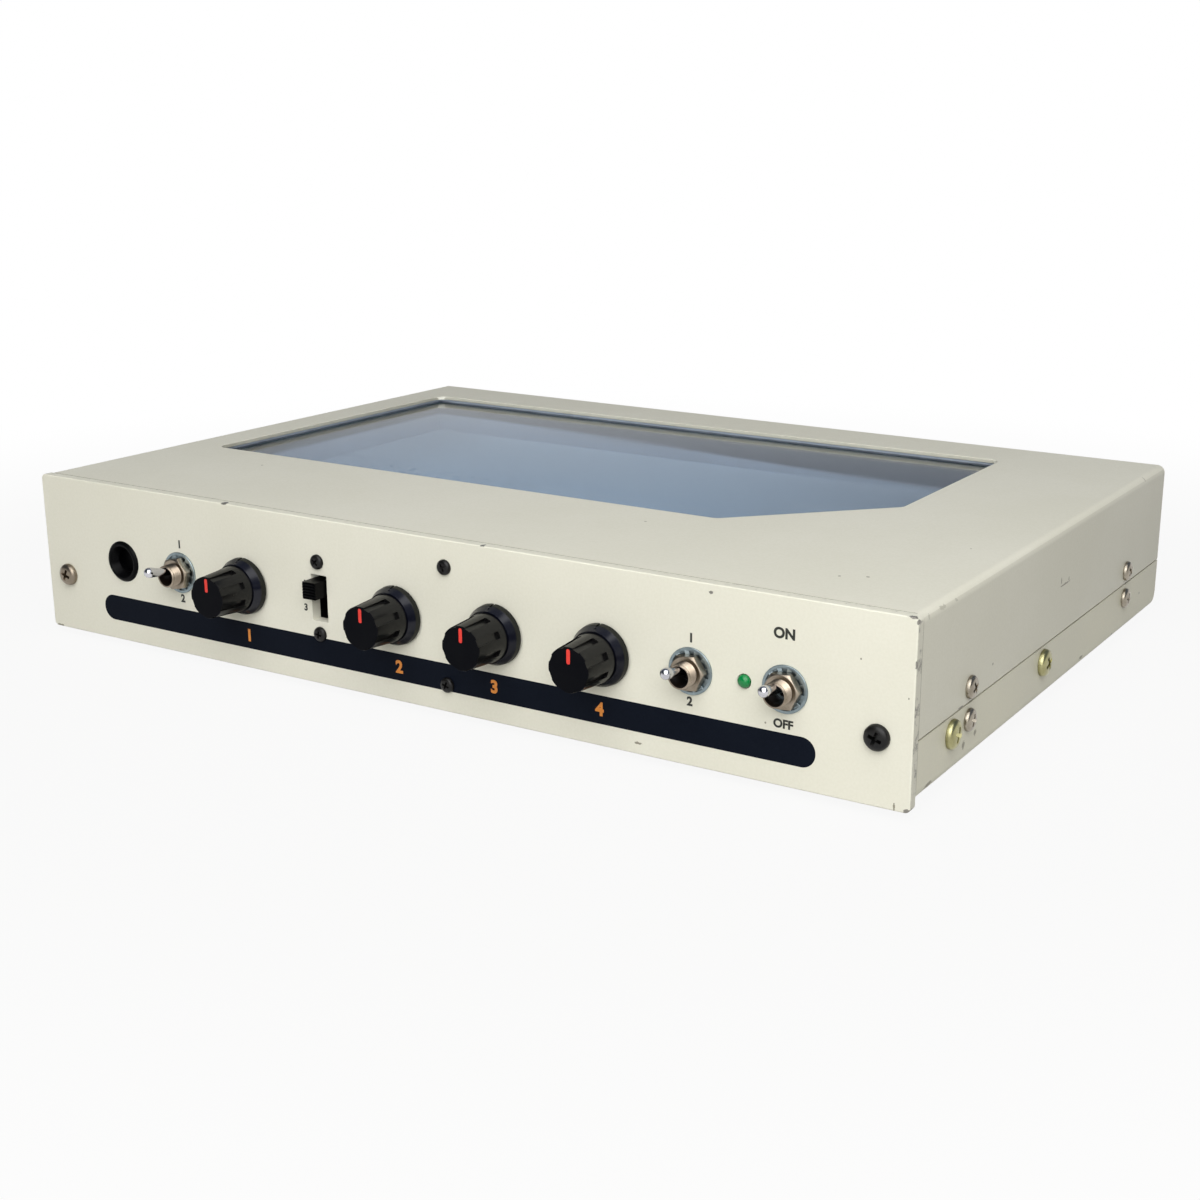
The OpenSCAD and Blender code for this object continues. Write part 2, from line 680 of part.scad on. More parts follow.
module toggle_bodies() placed() color("firebrick") for (t = TOGGLES)
    translate([t[0], panel_t + t[1], control_z]) {
        difference() {
            translate([-toggle_w / 2, 0, -toggle_h / 2]) cube([toggle_w, toggle_d, toggle_h]);
            translate([-2, -1, -3]) cube([4, 3, 6]);
        }
        for (dz = [-4.7, 0, 4.7]) translate([-1, toggle_d - eps, dz - 0.4])
            cube([2, 3.6, 0.8]);
    }

module toggle_bushings() placed() color("tan") for (t = TOGGLES)
    front_at(t[0], control_z, panel_t + t[1]) tube(bushing_r, mouth_r, panel_t + bushing_reach);

module toggle_nuts() placed() color("tan") for (t = TOGGLES)
    front_at(t[0], control_z, -washer_t) difference() {
        rotate(8) hex(toggle_nut_af, toggle_nut_t);
        translate([0, 0, -eps]) cylinder(r = bushing_r + fit_gap, h = toggle_nut_t + 1, $fn = 48);
    }

// Washer with twisted teeth that point inwards
module toggle_washers() placed() color("lightsteelblue") for (t = TOGGLES)
    front_at(t[0], control_z) difference() {
        cylinder(r = washer_r, h = washer_t, $fn = 64);
        translate([0, 0, -eps]) cylinder(r = bushing_r + hole_gap, h = washer_t + 1, $fn = 48);
        for (i = [0:tooth_count - 1]) rotate(i * 360 / tooth_count)
            translate([bushing_r, -0.45, -eps]) cube([washer_r - bushing_r - 1.05, 0.9, washer_t + 1]);
    }

module lever(t) placed() color("gainsboro") translate([t[0], lever_pivot_y + t[1], control_z])
    rotate([90 - lever_lean, 0, 0]) {
        sphere(r = lever_ball_r, $fn = 48);
        translate([0, 0, -3]) cylinder(r = 0.8, h = 3, $fn = 24);
        cylinder(r = lever_neck_r, h = lever_len / 2, $fn = 32);
        translate([0, 0, lever_len / 2 - eps])
            cylinder(r1 = lever_neck_r, r2 = lever_tip_r, h = lever_len / 2 + eps, $fn = 32);
        translate([0, 0, lever_len]) sphere(r = lever_tip_r, $fn = 32);
    }
module lever_attenuator() lever(TOGGLES[0]);
module lever_playback() lever(TOGGLES[1]);
module lever_power() lever(TOGGLES[2]);

module mode_switch_body() placed() color("silver") difference() {
    union() {
        translate([mode_x - mode_body_w / 2 - 0.6, panel_t, mode_z - mode_screw_pitch / 2 - 2.6])
            cube([mode_body_w + 1.2, mode_plate_t, mode_screw_pitch + 5.4]);
        translate([mode_x - mode_body_w / 2, panel_t + mode_plate_t - eps, mode_z - slot_h / 2 - 0.9])
            cube([mode_body_w, mode_body_d, slot_h + 1.8]);
    }
    translate([mode_x - slot_w / 2, panel_t - 1, mode_z - slot_h / 2])
        cube([slot_w, mode_body_d - 1, slot_h]);
    for (z = MODE_SCREW_ZS) front_at(mode_x, z, panel_t + 2)
        cylinder(r = SMALL_SCREW[2] + fit_gap, h = 3, $fn = 32);
}

module mode_slider() placed() color("#161616") difference() {
    translate([mode_x - slider_w / 2, -slider_reach, slider_z - slider_h / 2])
        cube([slider_w, slider_reach + panel_t + 3.5, slider_h]);
    // Ribs across the knob's front
    for (i = [0:4]) translate([mode_x - slider_w, -slider_reach - 0.01,
                               slider_z - slider_h / 2 + (i + 0.75) * slider_h / 6])
        cube([2 * slider_w, 0.35, slider_h / 12]);
}

// ---------------------------------------------------------------- sockets and lamp

// Block of a jack's body with its front at y0, made larger all round by grow
module jack_block(x, y0, z, grow)
    translate([x - jack_body_w / 2 - grow, y0 - grow, z - jack_body_drop - jack_body_h / 2 - grow])
        cube([jack_body_w + 2 * grow, jack_len + 2 * grow, jack_body_h + 2 * grow]);

module input_jack() placed() color("#161616") difference() {
    union() {
        front_at(jack_x, control_z, panel_t + eps)
            cylinder(r = jack_r, h = panel_t + jack_reach - jack_edge + eps, $fn = 64);
        front_at(jack_x, control_z, jack_edge - jack_reach)
            cylinder(r1 = jack_r, r2 = jack_r - jack_edge, h = jack_edge, $fn = 64);
        jack_block(jack_x, panel_t, control_z, 0);
    }
    front_at(jack_x, control_z, jack_mouth_depth - jack_reach)
        cylinder(r1 = plug_r, r2 = jack_mouth_r, h = jack_mouth_depth + eps, $fn = 64);
    front_at(jack_x, control_z, panel_t + jack_len - 1)
        cylinder(r = plug_r, h = jack_len + panel_t + jack_reach, $fn = 48);
}

module rear_jacks() placed() color("#161616") for (x = REAR_JACK_XS) difference() {
    union() {
        jack_block(x, rear_y - jack_len, rear_socket_z, 0);
        rear_at(x, rear_socket_z, rear_y - eps) cylinder(
            r = rear_thread_r, h = rear_t + rear_inset + rear_jack_reach + eps, $fn = 64);
    }
    rear_at(x, rear_socket_z, rear_y - jack_len + 1)
        cylinder(r = plug_r, h = jack_len + rear_t + rear_inset + rear_jack_reach, $fn = 48);
}

module rear_jack_nuts() placed() color("silver") for (x = REAR_JACK_XS)
    rear_at(x, rear_socket_z, rear_y + rear_t) difference() {
        hex(rear_nut_af, rear_nut_t);
        translate([0, 0, -eps]) cylinder(r = rear_thread_r + fit_gap, h = rear_nut_t + 1, $fn = 48);
    }

module power_inlet() placed() color("#161616") {
    difference() {
        union() {
            translate([inlet_x - inlet_w / 2, rear_y - inlet_len, rear_socket_z - inlet_w / 2 - 1])
                cube([inlet_w, inlet_len, inlet_w + 1]);
            rear_at(inlet_x, rear_socket_z, rear_y - eps)
                cylinder(r = inlet_w / 2, h = rear_t + inlet_reach + eps, $fn = 48);
        }
        rear_at(inlet_x, rear_socket_z, rear_y + rear_t + inlet_reach - inlet_depth)
            cylinder(r = inlet_r, h = inlet_depth + 1, $fn = 48);
    }
    rear_at(inlet_x, rear_socket_z, rear_y + rear_t + inlet_reach - inlet_depth - eps)
        cylinder(r = inlet_pin_r, h = inlet_depth - 1.5, $fn = 32);
}

module power_led() placed() color("green") front_at(led_x, control_z, panel_t) {
    translate([0, 0, -1]) cylinder(r = led_flange_r, h = 1, $fn = 32);
    translate([0, 0, -eps]) cylinder(r = led_r, h = panel_t - 0.4 + eps, $fn = 32);
    translate([0, 0, panel_t - 0.4]) sphere(r = led_r, $fn = 32);
}

module main_board() placed() color("darkgreen") difference() {
    union() {
        translate([-board_w / 2, board_y0, board_z]) cube([board_w, board_y1 - board_y0, board_t]);
        translate([0, 0, board_z + board_t - eps]) board_parts();
    }
    for (p = BOARD_FIXES) translate([p[0], p[1], board_z - 1])
        cylinder(r = SMALL_SCREW[2] + hole_gap, h = board_t + 2, $fn = 32);
}
// Capacitors and packages soldered to the board
module board_parts() {
    for (i = [0:5]) translate([-70 + 14 * i, board_y0 + 15, 0]) cylinder(r = 4, h = 11, $fn = 32);
    for (i = [0:6], j = [0:1]) translate([-84 + 24 * i, board_y0 + 34 + 16 * j, 0])
        cube([10, 6.4, 3.6]);
}

// ---------------------------------------------------------------- tape and its path

// Wheels and posts at the loop's corners: [x, y, radius to the tape's inner face]
LOOP = [[guide_left_x, guide_y, guide_r + run_gap],
        [guide_right_x, guide_y, guide_r + run_gap],
        [roller_right_x, roller_y, roller_r + wrap_gap],
        [roller_left_x, roller_y, roller_r + wrap_gap]];
module band(wheels, grow) hull() for (w = wheels) translate([w[0], w[1]])
    circle(r = w[2] + grow, $fn = 32);
module closed_band(wheels, t, w) linear_extrude(w) difference() {
    band(wheels, t);
    band(wheels, 0);
}

module tape_loop() placed() color("saddlebrown") translate([0, 0, tape_z0])
    closed_band(LOOP, tape_t, tape_w);

module head(x) translate([x, front_run_y - loop_inset - run_gap, deck_top]) {
    intersection() {
        translate([0, -head_w, 0]) cylinder(r = head_w, h = glass_under - deck_top - 0.6, $fn = 64);
        translate([-head_w / 2, -head_d, 0]) cube([head_w, head_d, glass_under - deck_top - 0.6]);
    }
}
module erase_head() placed() color("dimgray") head(erase_x);
module echo_heads() placed() color("silver") for (x = HEAD_XS) head(x);

module capstan_shaft() placed() color("gainsboro")
    translate([capstan_x, capstan_y, flywheel_z0]) cylinder(
        r = capstan_r, h = tape_z0 + tape_w + 1 - flywheel_z0, $fn = 48);

module flywheel() placed() color("goldenrod") translate([capstan_x, capstan_y, flywheel_z0])
    tube(flywheel_r, capstan_r + fit_gap, flywheel_t);

module capstan_bearing() placed() color("peru") translate([capstan_x, capstan_y, 0]) {
    translate([0, 0, bearing_z0]) tube(bearing_r, capstan_r + run_gap, deck_top - bearing_z0 + eps);
    translate([0, 0, deck_top]) tube(bearing_r + 1.5, capstan_r + run_gap, 1.2);
}

module drive_motor() placed() color("silver") translate([motor_x, motor_y, motor_z0]) difference() {
    cylinder(r = motor_r, h = motor_h, $fn = 64);
    translate([0, 0, -eps]) cylinder(r = motor_shaft_r + run_gap, h = 6, $fn = 32);
}

module motor_pulley() placed() color("goldenrod") translate([motor_x, motor_y, belt_z0 - 1]) {
    cylinder(r = motor_shaft_r, h = motor_z0 + 5 - belt_z0 + 1, $fn = 32);
    cylinder(r = pulley_flange_r, h = pulley_flange_t, $fn = 48);
    cylinder(r = pulley_r, h = belt_w + 2, $fn = 48);
    translate([0, 0, belt_w + 2 - pulley_flange_t])
        cylinder(r = pulley_flange_r, h = pulley_flange_t, $fn = 48);
}

module drive_belt() placed() color("#202020") translate([0, 0, belt_z0])
    closed_band([[motor_x, motor_y, pulley_r + wrap_gap],
                 [capstan_x, capstan_y, flywheel_r + wrap_gap]], belt_t, belt_w);

// Arm over the pinch roller, on its own post beside it
module pinch_arm() placed() color("gainsboro") {
    difference() {
        union() {
            translate([0, 0, arm_z0]) linear_extrude(arm_t) hull() {
                translate([arm_x, arm_y]) circle(r = arm_tube_r, $fn = 32);
                translate([capstan_x, pinch_y]) circle(r = arm_tube_r, $fn = 32);
            }
            translate([arm_x, arm_y, arm_tube_z])
                cylinder(r = arm_tube_r, h = arm_z0 - arm_tube_z + eps, $fn = 48);
        }
        translate([arm_x, arm_y, arm_tube_z - 1])
            cylinder(r = arm_post_r + run_gap, h = panel_h, $fn = 48);
    }
    translate([capstan_x, pinch_y, tape_z0 - 0.3])
        cylinder(r = pin_r, h = arm_z0 - tape_z0 + 0.3 + eps, $fn = 32);
}

// Coil of round wire: turns, mean radius, pitch and wire radius
coil_turns = 2.5;
coil_r = 2.9;
coil_pitch = 1.3;
wire_r = 0.35;
coil_steps = 16;
wire_sides = 6;
function coil_point(a, b) =
    let (r = coil_r + wire_r * cos(b)) [r * cos(a), r * sin(a), coil_pitch * a / 360 + wire_r * sin(b)];
module pinch_spring() placed() color("gray") translate([arm_x, arm_y, deck_top + 0.5]) {
    rings = coil_turns * coil_steps;
    polyhedron(
        points = [for (i = [0:rings], k = [0:wire_sides - 1])
            coil_point(i * 360 / coil_steps, k * 360 / wire_sides)],
        faces = concat(
            [for (i = [0:rings - 1], k = [0:wire_sides - 1])
                let (a = i * wire_sides + k, b = i * wire_sides + (k + 1) % wire_sides)
                [a, b, b + wire_sides]],
            [for (i = [0:rings - 1], k = [0:wire_sides - 1])
                let (a = i * wire_sides + k, b = i * wire_sides + (k + 1) % wire_sides)
                [a, b + wire_sides, a + wire_sides]],
            [[for (k = [wire_sides - 1:-1:0]) k]],
            [[for (k = [0:wire_sides - 1]) rings * wire_sides + k]]));
}

module pinch_roller() placed() color("#202020") translate([capstan_x, pinch_y, tape_z0])
    tube(pinch_r, pin_r + run_gap, tape_w);

module roller(x) placed() color("ivory") translate([x, roller_y, tape_z0 - flange_t]) difference() {
    union() {
        cylinder(r = roller_r + 1.6, h = flange_t - 0.15, $fn = 48);
        cylinder(r = roller_r, h = tape_w + 2 * flange_t, $fn = 48);
        translate([0, 0, tape_w + flange_t + 0.15])
            cylinder(r = roller_r + 1.6, h = flange_t - 0.15, $fn = 48);
    }
    translate([0, 0, -1]) cylinder(r = pin_r + run_gap, h = panel_h, $fn = 32);
}
module roller_left() roller(roller_left_x);
module roller_right() roller(roller_right_x);

// Every post is riveted into the deck; these are their places
GUIDES = [[guide_left_x, guide_y], [guide_right_x, guide_y]];
PINS = [[roller_left_x, roller_y], [roller_right_x, roller_y]];
POSTS = concat(GUIDES, PINS, [[arm_x, arm_y]]);
module deck_posts() placed() color("gainsboro") {
    for (p = POSTS) translate([p[0], p[1], deck_top - deck_t])
        cylinder(r = pin_r, h = deck_t + eps, $fn = 32);
    for (p = GUIDES) translate([p[0], p[1], deck_top])
        cylinder(r = guide_r, h = tape_z0 + tape_w + 1 - deck_top, $fn = 48);
    for (p = PINS) translate([p[0], p[1], deck_top]) {
        cylinder(r = pin_r + 1, h = tape_z0 - flange_t - 0.1 - deck_top, $fn = 32);
        cylinder(r = pin_r, h = glass_under - 0.4 - deck_top, $fn = 32);
    }
    translate([arm_x, arm_y, deck_top])
        cylinder(r = arm_post_r, h = arm_z0 + arm_t + 0.3 - deck_top, $fn = 48);
}

front_panel();
top_cover();
bottom_chassis();
rear_panel();
side_rail_left();
side_rail_right();
centre_bracket();
window_glass();
window_gasket();
deck_plate();
chamber_wall();
rubber_feet();
foot_screws();
panel_screw_left();
panel_screw_right();
small_black_screws();
side_screws();
strap_screws();
rear_screws();
deck_screws();
knob_input();
knob_echo();
knob_repeat();
knob_time();
shaft_input();
shaft_echo();
shaft_repeat();
shaft_time();
pot_bodies();
pot_nuts();
toggle_bodies();
toggle_bushings();
toggle_nuts();
toggle_washers();
lever_attenuator();
lever_playback();
lever_power();
mode_switch_body();
mode_slider();
input_jack();
rear_jacks();
rear_jack_nuts();
power_inlet();
power_led();
main_board();
tape_loop();
erase_head();
echo_heads();
capstan_shaft();
flywheel();
capstan_bearing();
drive_motor();
motor_pulley();
drive_belt();
pinch_arm();
pinch_spring();
pinch_roller();
roller_left();
roller_right();
deck_posts();
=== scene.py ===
import math

import bmesh
import bpy
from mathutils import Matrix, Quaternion, Vector


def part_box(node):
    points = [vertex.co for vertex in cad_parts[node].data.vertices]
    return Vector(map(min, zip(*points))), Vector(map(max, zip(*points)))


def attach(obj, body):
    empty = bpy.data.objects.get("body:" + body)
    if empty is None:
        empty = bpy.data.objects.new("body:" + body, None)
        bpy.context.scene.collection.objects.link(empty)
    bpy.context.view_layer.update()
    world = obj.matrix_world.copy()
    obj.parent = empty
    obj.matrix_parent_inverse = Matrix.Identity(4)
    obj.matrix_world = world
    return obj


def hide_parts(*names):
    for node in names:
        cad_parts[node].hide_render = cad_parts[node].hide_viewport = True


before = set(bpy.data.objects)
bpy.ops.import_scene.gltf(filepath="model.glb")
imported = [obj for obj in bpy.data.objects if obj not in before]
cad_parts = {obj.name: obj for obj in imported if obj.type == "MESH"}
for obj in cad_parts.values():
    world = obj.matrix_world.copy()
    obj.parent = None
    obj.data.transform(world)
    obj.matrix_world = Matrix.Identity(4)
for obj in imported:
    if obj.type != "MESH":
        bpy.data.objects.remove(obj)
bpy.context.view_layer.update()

MM = 0.001
panel_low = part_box("front_panel")[0]

# Sizes in mm: x from the middle, y back from the panel's face, z up from the panel's lower edge.
PANEL_HALF = 132.2
PANEL_H = 44
PANEL_T = 3
PANEL_CORNER = 1.3
CASE_HALF = 132.1
CASE_REAR = 182.5
SHEET_T = 1.2
BEND_R = 2.2
SEAM_LOW = 15.55
SEAM_HIGH = 15.85
FLOOR_UNDER = 1.75
REAR_CORNER = 5
REAR_Y = 179.3
REAR_OUT = 181.3
WINDOW_LOW = (-119.2, 54.7)
WINDOW_HIGH = (88.5, 163.5)
CUT_FROM = (53.3, 54.7)
CUT_TO = (88.5, 92)
WINDOW_ROUND = 3.4
CUT_ROUND = 1.1
CONTROL_Z = 22.9
POST_X = 97
POST_YS = (96, 157.3)
FOOT_X = 112.1
FOOT_YS = (22, 160.5)
KNOBS = {"input": -56.8, "echo": -6.2, "repeat": 24, "time": 54.2}
TOGGLES = {"attenuator": (-80.6, 0), "playback": (77.8, 0), "power": (101.7, 0.8)}
JACK_X = -102.1
LED_X = 91.5
SLOT_X = -31.75
SLOT_Z = 23.1
SLOT_W = 5.1
SLOT_H = 12.2
SOCKET_Z = 20.9
REAR_JACK_XS = (-96, -66)
INLET_X = 94
END_SCREW = (124.05, 16.15)
REAR_SCREW_ZS = (9.5, 21)
SIDE_SCREW_YS = (32.1, 150)
SIDE_SCREW_ZS = (11.75, 19.6)
STRAP_SCREW_YS = (22, 82.1)
STRAP_SCREW_Z = 11.45
SMALL_SCREWS = [(8.8, 7.15), (8.8, 37.2), (SLOT_X, 13.625), (SLOT_X, 32.775)]
LEVER_LEAN = math.radians(12)
INK_T = 0.03
SAME_SPOT = 0.001
QUARTER = math.pi / 2
FACING_FRONT = (0, 0, 0)
# Turns about the upright axis, for what stands on a side of the case
FRONT, RIGHT, REAR, LEFT = 0, QUARTER, 2 * QUARTER, -QUARTER


def place(x, y, z):
    """A point given in mm on the panel, in the row frame in metres."""
    return Vector((x * MM, panel_low.y + y * MM, panel_low.z + z * MM))


def put(name, data):
    """A new object in the scene."""
    obj = bpy.data.objects.new(name, data)
    bpy.context.scene.collection.objects.link(obj)
    return obj


# Camera, at the photograph's viewing angle
ROLL = math.radians(0.4945)
looking = Vector((-0.4839, 0.82895, -0.28051))
eye = put("camera", bpy.data.cameras.new("camera"))
eye.location = (0.26704, -0.41365, 0.15131)
eye.rotation_mode = "QUATERNION"
eye.rotation_quaternion = looking.to_track_quat("-Z", "Y") @ Quaternion((0, 0, 1), ROLL)
eye.data.sensor_width = 36
eye.data.lens = 53.17
eye.data.shift_x = -0.0684
eye.data.shift_y = 0.0042
bpy.context.scene.camera = eye


# ------------ bench tools

def leave():
    bpy.ops.object.mode_set(mode="OBJECT")


def only(*objs):
    """Object mode, with these objects selected and nothing else."""
    if bpy.context.mode != "OBJECT":
        leave()
    bpy.ops.object.select_all(action="DESELECT")
    for obj in objs:
        obj.select_set(True)
    if objs:
        bpy.context.view_layer.objects.active = objs[0]


def named(obj, name):
    obj.name = name
    obj.data.name = name
    return obj


def freeze(obj, name=None):
    """Puts an object's place, turn and size into its mesh."""
    only(obj)
    bpy.ops.object.transform_apply(location=True, rotation=True, scale=True)
    return named(obj, name) if name else obj


def block_between(name, a, b):
    """A block between two corners in metres."""
    only()
    bpy.ops.mesh.primitive_cube_add(size=1, location=(a + b) / 2)
    obj = bpy.context.object
    obj.scale = b - a
    return freeze(obj, name)


def block(name, low, high):
    """A block between two corners in mm on the panel."""
    return block_between(name, place(*low), place(*high))


def bench_block(name, low, high):
    """A block between two corners in mm from the bench's origin."""
    return block_between(name, Vector(low) * MM, Vector(high) * MM)


def bar(radius, length, middle, sides, turn=(QUARTER, 0, 0)):
    """A round bar, measured in mm, about a point in metres."""
    only()
    bpy.ops.mesh.primitive_cylinder_add(vertices=sides, radius=radius * MM, depth=length * MM,
                                        location=middle, rotation=turn)
    return freeze(bpy.context.object, "bar")


def drill(x, z, radius, y0=-2, y1=5):
    """A round bar through a panel, to cut a hole with."""
    return bar(radius, y1 - y0, place(x, (y0 + y1) / 2, z), 40)


def bench_bar(radius, out0, out1, sides=48):
    """A round bar on the bench's outward axis."""
    return bar(radius, out1 - out0, (0, -(out0 + out1) / 2 * MM, 0), sides)


def take(obj, kind, test):
    """Edit mode, with the faces or edges selected that pass the test of middle and direction."""
    only(obj)
    bpy.ops.object.mode_set(mode="EDIT")
    bpy.ops.mesh.select_mode(type=kind)
    bpy.ops.mesh.select_all(action="DESELECT")
    bm = bmesh.from_edit_mesh(obj.data)
    if kind == "FACE":
        for face in bm.faces:
            face.select_set(bool(test(face.calc_center_median(), face.normal)))
    else:
        for edge in bm.edges:
            a, b = (v.co for v in edge.verts)
            edge.select_set(bool(test((a + b) / 2, (b - a).normalized())))
    bm.select_flush_mode()
    bmesh.update_edit_mesh(obj.data)


def every(mid, way):
    return True


def runs_back(mid, way):
    """Edges that run straight back from the panel."""
    return abs(way.y) > 0.9


def round_edges(obj, test, width, segments):
    """Bevels the edges that pass the test."""
    take(obj, "EDGE", test)
    bpy.ops.mesh.bevel(offset=width * MM, segments=segments, affect="EDGES")
    leave()


def drop_faces(obj, test):
    """Deletes the faces that pass the test."""
    take(obj, "FACE", test)
    bpy.ops.mesh.delete(type="FACE")
    leave()


def resize_faces(obj, test, scale, centre):
    """Resizes the faces that pass the test about a point."""
    take(obj, "FACE", test)
    bpy.ops.transform.resize(value=scale, center_override=centre)
    leave()


def use(obj, kind, **settings):
    """Adds a modifier and applies it."""
    only(obj)
    mod = obj.modifiers.new(kind.lower(), kind)
    for key, value in settings.items():
        setattr(mod, key, value)
    bpy.ops.object.modifier_apply(modifier=mod.name)


def cut(obj, *cutters, operation="DIFFERENCE"):
    for cutter in cutters:
        use(obj, "BOOLEAN", object=cutter, operation=operation, solver="EXACT")
        scrap(cutter)
    return obj


def soften(obj, width, segments=2, angle=50):
    """Rounds every edge that is sharper than the angle."""
    use(obj, "BEVEL", width=width * MM, segments=segments, limit_method="ANGLE",
        angle_limit=math.radians(angle))
    return obj


def shade(obj, angle=32):
    """Smooth shading that keeps flat faces flat and hard edges hard."""
    only(obj)
    bpy.ops.object.shade_smooth_by_angle(angle=math.radians(angle))
    use(obj, "WEIGHTED_NORMAL", keep_sharp=True)
    return obj


def tidy_mesh(obj):
    """Merges doubles and turns every face of a closed shape outwards."""
    take(obj, "FACE", every)
    bpy.ops.mesh.remove_doubles(threshold=SAME_SPOT * MM)
    bpy.ops.mesh.normals_make_consistent(inside=False)
    leave()
    return obj


def turned(name, steps, sides=48):
    """A closed shape turned about the bench's outward axis. steps are (out, radius) in mm."""
    only()
    out, radius = steps[0]
    bpy.ops.mesh.primitive_circle_add(vertices=sides, radius=radius * MM, fill_type="NGON",
                                      location=(0, -out * MM, 0), rotation=(QUARTER, 0, 0))
    obj = freeze(bpy.context.object, name)
    take(obj, "FACE", every)
    for (out0, r0), (out1, r1) in zip(steps, steps[1:]):
        bpy.ops.mesh.extrude_region_move(
            TRANSFORM_OT_translate={"value": (0, -(out1 - out0) * MM, 0)})
        bpy.ops.transform.resize(value=(r1 / r0, 1, r1 / r0), center_override=(0, -out1 * MM, 0))
    leave()
    return tidy_mesh(obj)


def arc(out, radius, degrees):
    """Steps for turned along a ball's outline."""
    return [(out + radius * math.sin(math.radians(a)), radius * math.cos(math.radians(a)))
            for a in degrees]


def twin(mesh, name):
    """A new object with its own copy of a mesh."""
    only()
    return put(name, mesh.copy())


def moved(obj, name, at, turn=FACING_FRONT):
    """Turns a piece from the bench and puts it on the panel."""
    obj.rotation_euler = turn
    obj.location = place(*at)
    return freeze(obj, name)


def copied(master, name, at, turn=FACING_FRONT):
    """A copy with its own mesh, turned and put on the panel."""
    return moved(twin(master.data, name), name, at, turn)


def ring_of(master, count, offset=0):
    """Copies with their own meshes, evenly turned about the bench's outward axis."""
    made = []
    for i in range(count):
        obj = twin(master.data, "turned_copy")
        obj.rotation_euler = (0, math.tau * (i + offset) / count, 0)
        made.append(freeze(obj))
    scrap(master)
    return made


def joined(name, objs):
    only(*objs)
    if len(objs) > 1:
        bpy.ops.object.join()
    return named(bpy.context.object, name)


def scrap(*objs):
    for obj in objs:
        bpy.data.objects.remove(obj)


FINISHES = {}


def fit(obj, slot, *nodes, body="case", finish=None):
    """Gives a piece its finish, hides the nodes it stands for and hangs it on the empty of what it rides
    on.
    """
    obj.data.materials.clear()
    obj.data.materials.append(FINISHES[finish or slot])
    if nodes:
        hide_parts(*nodes)
    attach(obj, body)


def refined(node, name, slot, width=0, body="case", finish=None):
    """A merged copy of a CAD node, with whole flat faces and rounded edges."""
    obj = twin(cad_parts[node].data, name)
    only(obj)
    bpy.ops.mesh.customdata_custom_splitnormals_clear()
    take(obj, "FACE", every)
    bpy.ops.mesh.remove_doubles(threshold=SAME_SPOT * MM)
    bpy.ops.mesh.dissolve_limited(angle_limit=math.radians(0.5))
    leave()
    if width:
        soften(obj, width, 2, 40)
    fit(shade(obj), slot, node, body=body, finish=finish)


# ------------ shader tools

def tint(red, green, blue):
    """A colour as it looks on screen, 0 to 255, as the renderer wants it."""
    def straight(value):
        value /= 255
        return value / 12.92 if value <= 0.04045 else ((value + 0.055) / 1.055) ** 2.4
    return (straight(red), straight(green), straight(blue), 1)


def wire(tree, node, wires):
    """Sets a node's inputs, each to a value or to another node's output."""
    for key, value in wires.items():
        if isinstance(value, bpy.types.NodeSocket):
            tree.links.new(value, node.inputs[key])
        else:
            node.inputs[key].default_value = value
    return node


def add(tree, kind, wires=None, **settings):
    """Adds a shader node, sets it and wires its inputs."""
    made = tree.nodes.new("ShaderNode" + kind)
    for key, value in settings.items():
        setattr(made, key, value)
    return wire(tree, made, wires or {})


def sum_up(tree, operation, a, b=0, c=0, clamp=False):
    made = add(tree, "Math", {0: a, 1: b, 2: c}, operation=operation, use_clamp=clamp)
    return made.outputs[0]


def times(tree, a, b):
    return sum_up(tree, "MULTIPLY", a, b)


def most(tree, *masks):
    """The highest of some masks."""
    high = masks[0]
    for mask in masks[1:]:
        high = sum_up(tree, "MAXIMUM", high, mask)
    return high


def reckon(tree, operation, a, b=(0, 0, 0)):
    """Vector arithmetic. A length, a distance and a dot product are values."""
    made = add(tree, "VectorMath", {0: a, 1: b}, operation=operation)
    return made.outputs["Value" if operation in ("LENGTH", "DISTANCE", "DOT_PRODUCT") else "Vector"]


def part_of(tree, where, axis):
    return add(tree, "SeparateXYZ", {0: where}).outputs[axis]


def spread(tree, value, low, high, to_low=0, to_high=1):
    """Maps a value smoothly from one range to another."""
    made = add(tree, "MapRange",
               {"Value": value, "From Min": low, "From Max": high, "To Min": to_low, "To Max": to_high},
               interpolation_type="SMOOTHSTEP")
    return made.outputs[0]


def ramp(tree, where, axis, low, high, to_low=0, to_high=1):
    """A smooth ramp along X or Z between two places in mm on the panel."""
    ends = [getattr(place(at, 0, at), axis.lower()) for at in (low, high)]
    return spread(tree, part_of(tree, where, axis), *ends, to_low, to_high)


def banded(tree, value, bands, full):
    """A ramp with hard steps, each (start, colour), over a full length."""
    made = add(tree, "ValToRGB", {0: value})
    made.color_ramp.interpolation = "CONSTANT"
    marks = made.color_ramp.elements
    for index, (start, colour) in enumerate(bands):
        mark = marks[index] if index < 2 else marks.new(start / full)
        mark.position = start / full
        mark.color = colour
    return made.outputs["Color"]


def blended(tree, factor, a, b):
    """Colour a where the factor is 0, and b where it is 1."""
    return add(tree, "Mix", {0: factor, 6: a, 7: b}, data_type="RGBA").outputs[2]


def noise(tree, where, scale, detail=4, rough=0.55):
    made = add(tree, "TexNoise",
               {"Vector": where, "Scale": scale, "Detail": detail, "Roughness": rough})
    return made.outputs["Fac"]


def stretched(tree, where, squeeze):
    """The coordinates, squeezed, so that a grain runs along the piece."""
    return add(tree, "Mapping", {"Vector": where, "Scale": squeeze}).outputs[0]


def bump(tree, shader, height, depth):
    made = add(tree, "Bump", {"Height": height, "Distance": depth, "Strength": 1})
    wire(tree, shader, {"Normal": made.outputs[0]})


